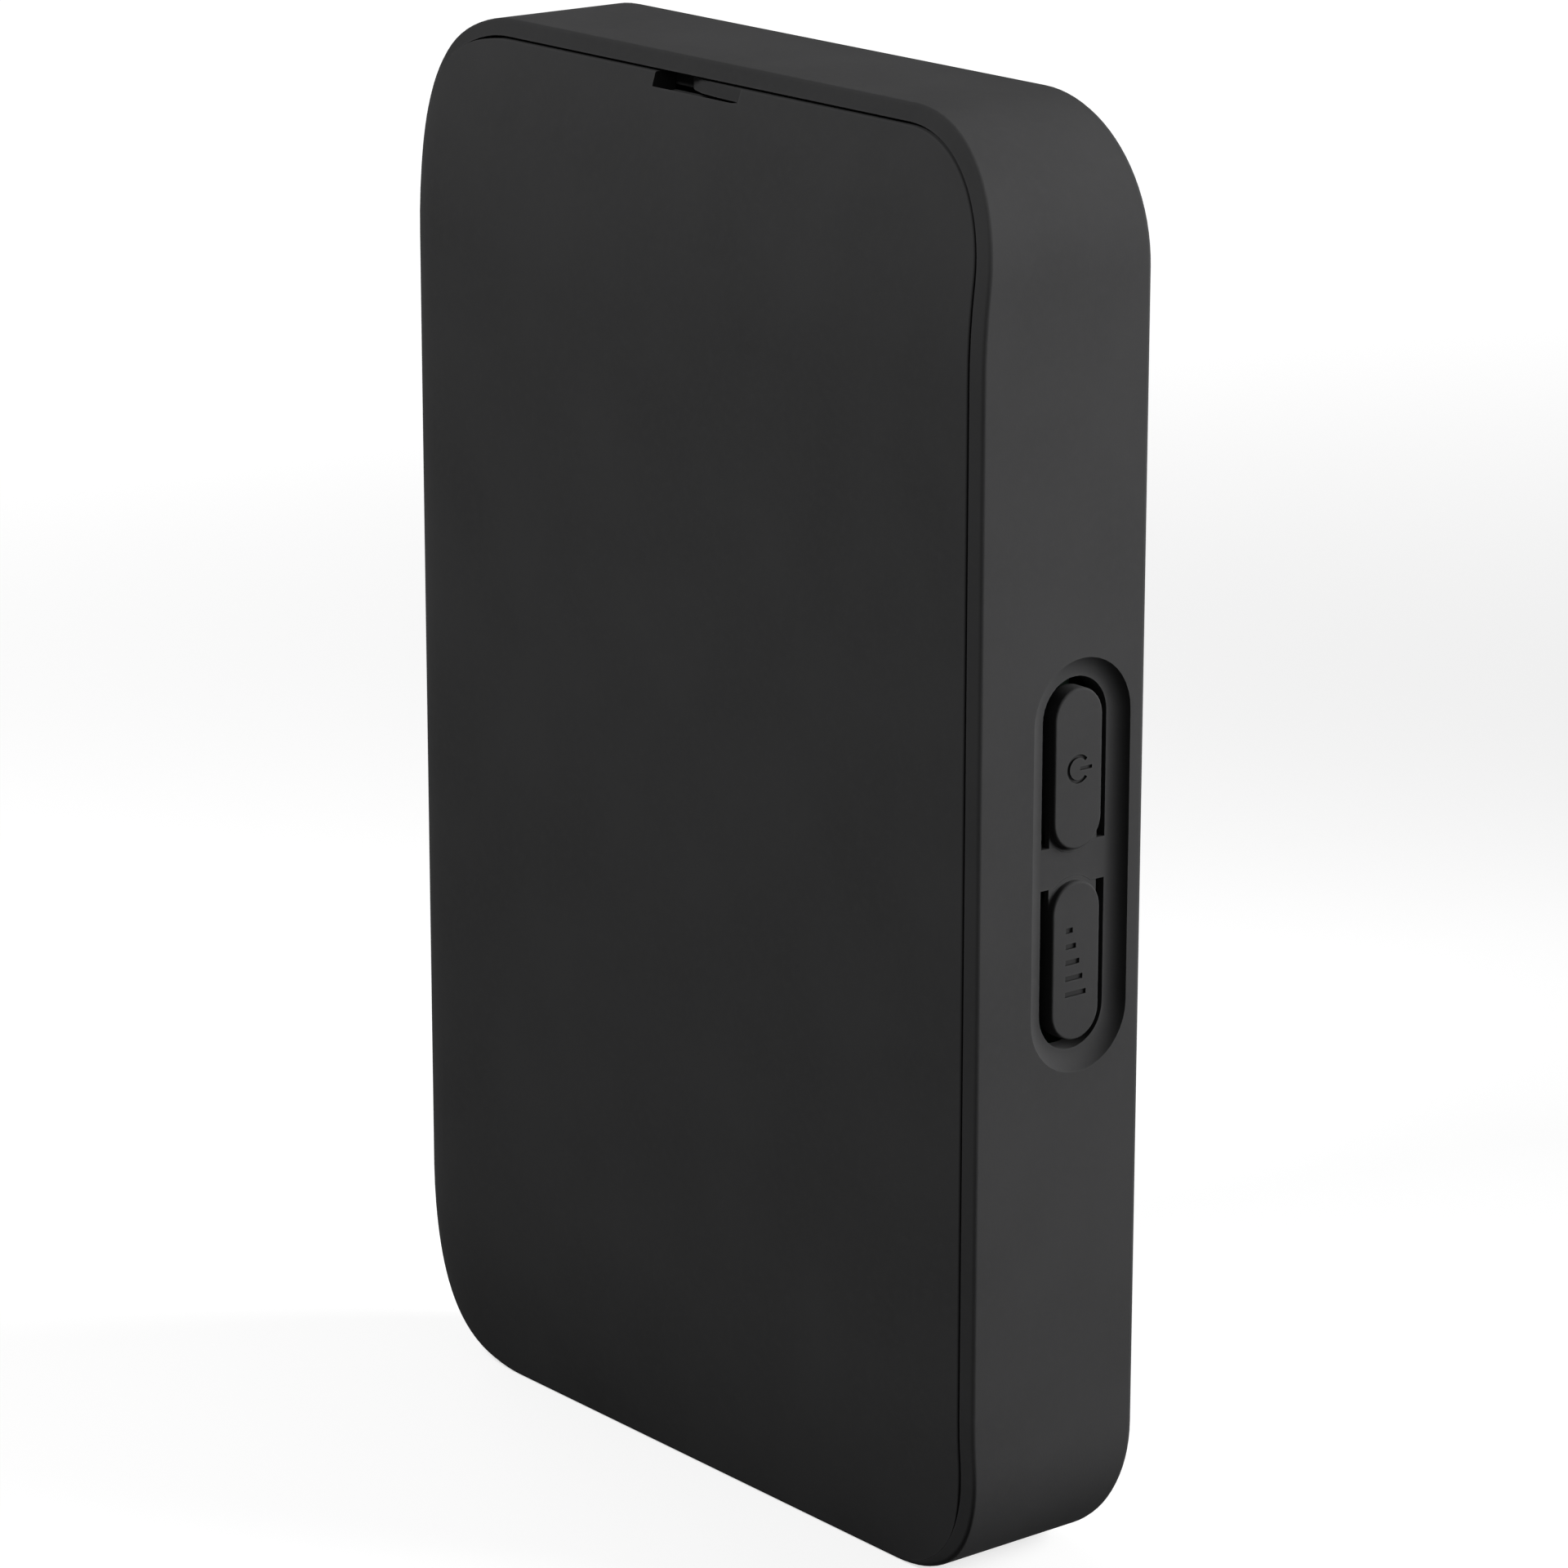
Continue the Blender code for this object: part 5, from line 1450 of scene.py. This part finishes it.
class HOTSPOT_OT_socket(bpy.types.Operator):
    """Build the charging socket: drawn shell, tongue and its contacts"""

    bl_idname = "hotspot.build_socket"
    bl_label = "Build Charging Socket"

    def execute(self, context):
        finish = context.scene.hotspot_finish
        shell = self.shell()
        paint(shell, plated("drawn_steel", STEEL, roughness=0.30, grain=(1.0, 1.0, 0.08)))
        smooth(shell)
        hand_over(shell, "case", "steel", "usb_shell")
        tongue = self.tongue()
        paint(tongue, moulded("tongue_black", SOCKET_BLACK, finish, finish.grain, roughness=0.55))
        smooth(tongue)
        hand_over(tongue, "case", "socket_plastic", "usb_tongue")
        strips = self.strips()
        paint(strips, plated("socket_gold", GOLD, roughness=0.26))
        smooth(strips)
        hand_over(strips, "case", "gold_plate")
        return {"FINISHED"}

    def shell(self):
        """A seamless stadium tube with a rolled mouth and a closed back, and its tail on the board."""
        long = SOCKET_HIGH.x - SOCKET_LOW.x
        centre = (0.0, (TONGUE_LOW.y + TONGUE_HIGH.y) / 2)
        back_z = SOCKET_LOW.z + SOCKET_DEPTH
        mouth = SOCKET_SKIN / 2
        profile = [(SOCKET_SKIN, back_z - SOCKET_BACK)]
        for step in range(2 * EDGE_STEPS + 1):
            angle = math.pi * step / (2 * EDGE_STEPS)
            level = SOCKET_LOW.z + mouth - mouth * math.sin(angle)
            profile.append((mouth + mouth * math.cos(angle), level))
        profile += [(0.0, back_z - mouth), (mouth, back_z)]
        rings = []
        for inset, level in profile:
            outline = flat_stadium(centre, long - 2 * inset, SOCKET_WIDTH - 2 * inset)
            rings.append(on_axis("Z", outline, level))
        shell = loft("socket_shell", rings)
        tail_y = BOARD_BACK_Y + SEAT_GAP
        low = (-TAIL_HALF, tail_y, back_z - SOCKET_BACK / 2)
        high = (TAIL_HALF, tail_y + TAIL_THICKNESS, SOCKET_HIGH.z)
        carve(shell, loft("socket_tail", block(low, high)), "UNION")
        return shell

    def tongue(self):
        """The contact tongue, thinner at its tip."""
        low, high = TONGUE_LOW, TONGUE_HIGH
        profile = [(low.z + along, inset) for along, inset in TONGUE_TIP]
        profile.append((high.z, 0.0))
        rings = []
        for level, inset in profile:
            near = (low.x + inset, low.y + inset)
            far = (high.x - inset, high.y - inset)
            rings.append(on_axis("Z", rounded_outline(near, far, TONGUE_CORNER), level))
        return loft("socket_tongue", rings)

    def strips(self):
        """The contacts along each side of the tongue."""
        low_z, high_z = TONGUE_LOW.z + STRIP_FROM_TIP, TONGUE_HIGH.z - STRIP_FROM_ROOT
        shells = []
        for side, level in ((-1, TONGUE_LOW.y), (1, TONGUE_HIGH.y)):
            ends = (level - side * STRIP_SUNK, level + side * STRIP_PROUD)
            for step in range(STRIP_COUNT):
                x = (step - (STRIP_COUNT - 1) / 2) * STRIP_PITCH
                low = (x - STRIP_HALF, min(ends), low_z)
                high = (x + STRIP_HALF, max(ends), high_z)
                shells.append(block(low, high))
        return loft("socket_contacts", *shells)


# The rounding of the light bar's edges
BAR_EDGE = 0.00025


class HOTSPOT_OT_light_bar(bpy.types.Operator):
    """Build the smoked light bar in the far face"""

    bl_idname = "hotspot.build_light_bar"
    bl_label = "Build Light Bar"

    def execute(self, context):
        form = context.scene.hotspot_form
        centre = (0.0, (BAR_LOW.z + BAR_HIGH.z) / 2)
        long, wide = (size - 2 * form.gap for size in window_size(form))
        flange_long, flange_wide = BAR_HIGH.x - BAR_LOW.x, BAR_HIGH.z - BAR_LOW.z
        flange = flat_stadium(centre, flange_long, flange_wide)
        flange_edge = flat_stadium(centre, flange_long - 2 * BAR_EDGE, flange_wide - 2 * BAR_EDGE)
        seat_y = FAR_Y - form.far_plate - form.gap
        rings = [
            on_axis("Y", flange_edge, BAR_LOW.y),
            on_axis("Y", flange, BAR_LOW.y + BAR_EDGE),
            on_axis("Y", flange, seat_y - BAR_EDGE),
            on_axis("Y", flange_edge, seat_y),
            on_axis("Y", flat_stadium(centre, long, wide), seat_y),
        ]
        for inset, short in quarter_round(BAR_EDGE):
            outline = flat_stadium(centre, long - 2 * inset, wide - 2 * inset)
            rings.append(on_axis("Y", outline, FAR_Y - short))
        bar = loft("indicator_bar", rings)
        paint(bar, resin("smoked_clear", SMOKED, roughness=0.12))
        smooth(bar)
        hand_over(bar, "case", "smoked_clear", "light_bar")
        return {"FINISHED"}


class HOTSPOT_OT_tray(bpy.types.Operator):
    """Finish the inner frame, the contact block and its leaves"""

    bl_idname = "hotspot.finish_tray"
    bl_label = "Finish Frame and Contacts"

    def execute(self, context):
        finish = context.scene.hotspot_finish
        grey = moulded("frame_grey", tuple(finish.frame), finish, finish.grain * 1.5, roughness=0.62)
        dress("mid_frame", grey, edge=0.00015)
        black = moulded("block_black", SOCKET_BLACK, finish, finish.grain, roughness=0.55)
        dress("contact_block", black, edge=0.0003)
        gold = plated("leaf_gold", GOLD, roughness=0.28, grain=(0.1, 1.0, 1.0))
        for number in range(1, CONTACT_COUNT + 1):
            dress(f"battery_contact_{number}", gold, edge=0.00005)
        return {"FINISHED"}


class HOTSPOT_OT_electronics(bpy.types.Operator):
    """Finish the board, shields, card socket, switches, lamps and antenna strips"""

    bl_idname = "hotspot.finish_electronics"
    bl_label = "Finish Electronics"

    def execute(self, context):
        finish = context.scene.hotspot_finish
        tin = plated("tin_plate", TIN, roughness=0.36, grain=(1.0, 1.0, 0.1))
        for name in ("modem_shield", "radio_shield", "power_shield"):
            dress(name, tin, edge=0.0001)
        for name in ("sim_socket", "power_switch", "network_switch"):
            dress(name, tin, edge=0.00005)
        dress("main_board", solder_mask("solder_mask"), edge=0.00008)
        dress("thermal_pad", soft_pad("soft_pad"), edge=0.0001)
        lamp = resin("lamp_resin", LAMP_RESIN, roughness=0.30)
        for name in ("indicator_led_1", "indicator_led_2", "indicator_led_3"):
            dress(name, lamp, edge=0.00012)
        plunger = moulded("plunger_black", SOCKET_BLACK, finish, finish.grain, roughness=0.5)
        for name in ("power_plunger", "network_plunger"):
            dress(name, plunger, edge=0.0001)
        film = film_strip("film_strip")
        for name in ("main_antenna", "second_antenna", "lan_antenna"):
            dress(name, film, edge=0.00005)
        return {"FINISHED"}


# Stage

# Each light: the share of the height that it aims at, its size, its azimuth and elevation in degrees,
# its distance, and its spread in degrees
LIGHTS = {
    "key_light": (0.74, 0.24, (138, 15), 0.30, 62),
    "fill_light": (0.50, 0.12, (-8, 46), 0.36, 180),
    "back_light": (0.50, 0.30, (250, 8), 0.50, 180),
}
SENSOR_WIDTH = 36.0
CLIP_START = 0.01
# The floor's half width, its squares along each side, and where its glow changes over
FLOOR_REACH = 3.0
FLOOR_SQUARES = 8
GLOW_NEAR = 0.15
GLOW_FAR = 0.60


class HOTSPOT_OT_stage(bpy.types.Operator):
    """Set up the floor, the soft lights, the surround and the camera"""

    bl_idname = "hotspot.build_stage"
    bl_label = "Build Stage"

    def execute(self, context):
        stage = context.scene.hotspot_stage
        context.scene.view_settings.view_transform = "Standard"
        self.floor(stage)
        self.surround(context, stage)
        for name, setting in LIGHTS.items():
            self.light(name, getattr(stage, name), *setting)
        self.camera(context, stage)
        return {"FINISHED"}

    def outward(self, azimuth, elevation):
        """The way from the body to a place round it; azimuth 0 is in front of the cover."""
        level = math.cos(elevation)
        return Vector((math.sin(azimuth) * level, -math.cos(azimuth) * level, math.sin(elevation)))

    def light(self, name, power, aim, size, angles, distance, spread):
        """A round soft light that faces a place on the body's axis."""
        lamp = bpy.data.lights.new(name, "AREA")
        lamp.shape = "DISK"
        lamp.size = size
        lamp.energy = power
        lamp.spread = math.radians(spread)
        holder = bpy.data.objects.new(name, lamp)
        bpy.context.scene.collection.objects.link(holder)
        away = self.outward(*(math.radians(angle) for angle in angles))
        holder.location = Vector((0, 0, HEIGHT * aim)) + distance * away
        holder.rotation_euler = away.to_track_quat("Z", "Y").to_euler()

    def camera(self, context, stage):
        """The camera, looking at the middle of the body."""
        data = bpy.data.cameras.new("photo_camera")
        data.lens = stage.lens
        data.sensor_width = SENSOR_WIDTH
        data.shift_x = stage.shift_x
        data.shift_y = stage.shift_y
        data.clip_start = CLIP_START
        camera = bpy.data.objects.new("photo_camera", data)
        context.scene.collection.objects.link(camera)
        back = self.outward(stage.azimuth, stage.elevation)
        camera.location = Vector((0, 0, HEIGHT / 2)) + stage.distance * back
        camera.rotation_euler = back.to_track_quat("Z", "Y").to_euler()
        context.scene.camera = camera

    def seen(self, tree):
        """1 for what the camera sees directly, in gloss or through clear plastic, and 0 in soft light."""
        path = tree.nodes.new("ShaderNodeLightPath")
        total = path.outputs["Is Camera Ray"]
        for name in ("Is Glossy Ray", "Is Transmission Ray"):
            either = tree.nodes.new("ShaderNodeMath")
            either.operation = "MAXIMUM"
            tree.links.new(total, either.inputs[0])
            tree.links.new(path.outputs[name], either.inputs[1])
            total = either.outputs["Value"]
        return total

    def floor(self, stage):
        """A wide floor that keeps the shadow, and glows to read as white."""
        shape = bmesh.new()
        bmesh.ops.create_grid(
            shape, x_segments=FLOOR_SQUARES, y_segments=FLOOR_SQUARES, size=FLOOR_REACH
        )
        mesh = bpy.data.meshes.new("floor")
        shape.to_mesh(mesh)
        shape.free()
        floor = bpy.data.objects.new("floor", mesh)
        bpy.context.scene.collection.objects.link(floor)
        material = bpy.data.materials.new("floor_paint")
        material.use_nodes = True
        tree = material.node_tree
        tree.nodes.clear()
        seen = self.seen(tree)
        tint = tree.nodes.new("ShaderNodeMapRange")
        tint.inputs["To Min"].default_value = stage.floor_bounce
        tint.inputs["To Max"].default_value = stage.floor
        tree.links.new(seen, tint.inputs["Value"])
        paint_node = tree.nodes.new("ShaderNodeBsdfDiffuse")
        tree.links.new(tint.outputs["Result"], paint_node.inputs["Color"])
        spot = tree.nodes.new("ShaderNodeTexCoord")
        apart = tree.nodes.new("ShaderNodeVectorMath")
        apart.operation = "LENGTH"
        tree.links.new(spot.outputs["Object"], apart.inputs[0])
        spread = tree.nodes.new("ShaderNodeMapRange")
        spread.interpolation_type = "SMOOTHSTEP"
        spread.inputs["From Min"].default_value = GLOW_NEAR
        spread.inputs["From Max"].default_value = GLOW_FAR
        spread.inputs["To Min"].default_value = stage.floor_glow
        spread.inputs["To Max"].default_value = stage.floor_glow_far
        tree.links.new(apart.outputs["Value"], spread.inputs["Value"])
        glow = tree.nodes.new("ShaderNodeEmission")
        power = tree.nodes.new("ShaderNodeMath")
        power.operation = "MULTIPLY"
        tree.links.new(spread.outputs["Result"], power.inputs[1])
        tree.links.new(seen, power.inputs[0])
        tree.links.new(power.outputs["Value"], glow.inputs["Strength"])
        both = tree.nodes.new("ShaderNodeAddShader")
        tree.links.new(paint_node.outputs["BSDF"], both.inputs[0])
        tree.links.new(glow.outputs["Emission"], both.inputs[1])
        output = tree.nodes.new("ShaderNodeOutputMaterial")
        tree.links.new(both.outputs["Shader"], output.inputs["Surface"])
        mesh.materials.append(material)

    def surround(self, context, stage):
        """Even light from all round, seen as white."""
        world = bpy.data.worlds.new("surround")
        context.scene.world = world
        world.use_nodes = True
        tree = world.node_tree
        background = tree.nodes["Background"]
        background.inputs["Color"].default_value = (1.0, 1.0, 1.0, 1.0)
        strength = tree.nodes.new("ShaderNodeMapRange")
        strength.inputs["To Min"].default_value = stage.surround
        strength.inputs["To Max"].default_value = 1.0
        tree.links.new(self.seen(tree), strength.inputs["Value"])
        tree.links.new(strength.outputs["Result"], background.inputs["Strength"])


# Add-on


class HOTSPOT_PT_panel(bpy.types.Panel):
    """Sizes, finishes and building steps of the hotspot"""

    bl_idname = "HOTSPOT_PT_panel"
    bl_label = "Pocket Hotspot"
    bl_space_type = "VIEW_3D"
    bl_region_type = "UI"
    bl_category = "Hotspot"

    def draw(self, context):
        layout = self.layout
        for operator in OPERATORS:
            layout.operator(operator.bl_idname)
        for group_name, group in GROUPS:
            column = layout.column()
            column.label(text=group.__doc__)
            for name in group.__annotations__:
                column.prop(getattr(context.scene, group_name), name)


GROUPS = (
    ("hotspot_form", HotspotForm),
    ("hotspot_keys", HotspotKeys),
    ("hotspot_finish", HotspotFinish),
    ("hotspot_stage", HotspotStage),
)
OPERATORS = (
    HOTSPOT_OT_housing,
    HOTSPOT_OT_cover,
    HOTSPOT_OT_keys,
    HOTSPOT_OT_battery,
    HOTSPOT_OT_screws,
    HOTSPOT_OT_socket,
    HOTSPOT_OT_light_bar,
    HOTSPOT_OT_tray,
    HOTSPOT_OT_electronics,
    HOTSPOT_OT_stage,
)


def register():
    for name, group in GROUPS:
        bpy.utils.register_class(group)
        setattr(bpy.types.Scene, name, PointerProperty(type=group))
    for operator in OPERATORS:
        bpy.utils.register_class(operator)
    bpy.utils.register_class(HOTSPOT_PT_panel)


def unregister():
    bpy.utils.unregister_class(HOTSPOT_PT_panel)
    for operator in reversed(OPERATORS):
        bpy.utils.unregister_class(operator)
    for name, group in reversed(GROUPS):
        delattr(bpy.types.Scene, name)
        bpy.utils.unregister_class(group)


def main():
    register()
    bpy.ops.hotspot.build_housing()
    bpy.ops.hotspot.build_cover()
    bpy.ops.hotspot.build_keys()
    bpy.ops.hotspot.build_battery()
    bpy.ops.hotspot.build_screws()
    bpy.ops.hotspot.build_socket()
    bpy.ops.hotspot.build_light_bar()
    bpy.ops.hotspot.finish_tray()
    bpy.ops.hotspot.finish_electronics()
    bpy.ops.hotspot.build_stage()


if __name__ == "__main__":
    main()
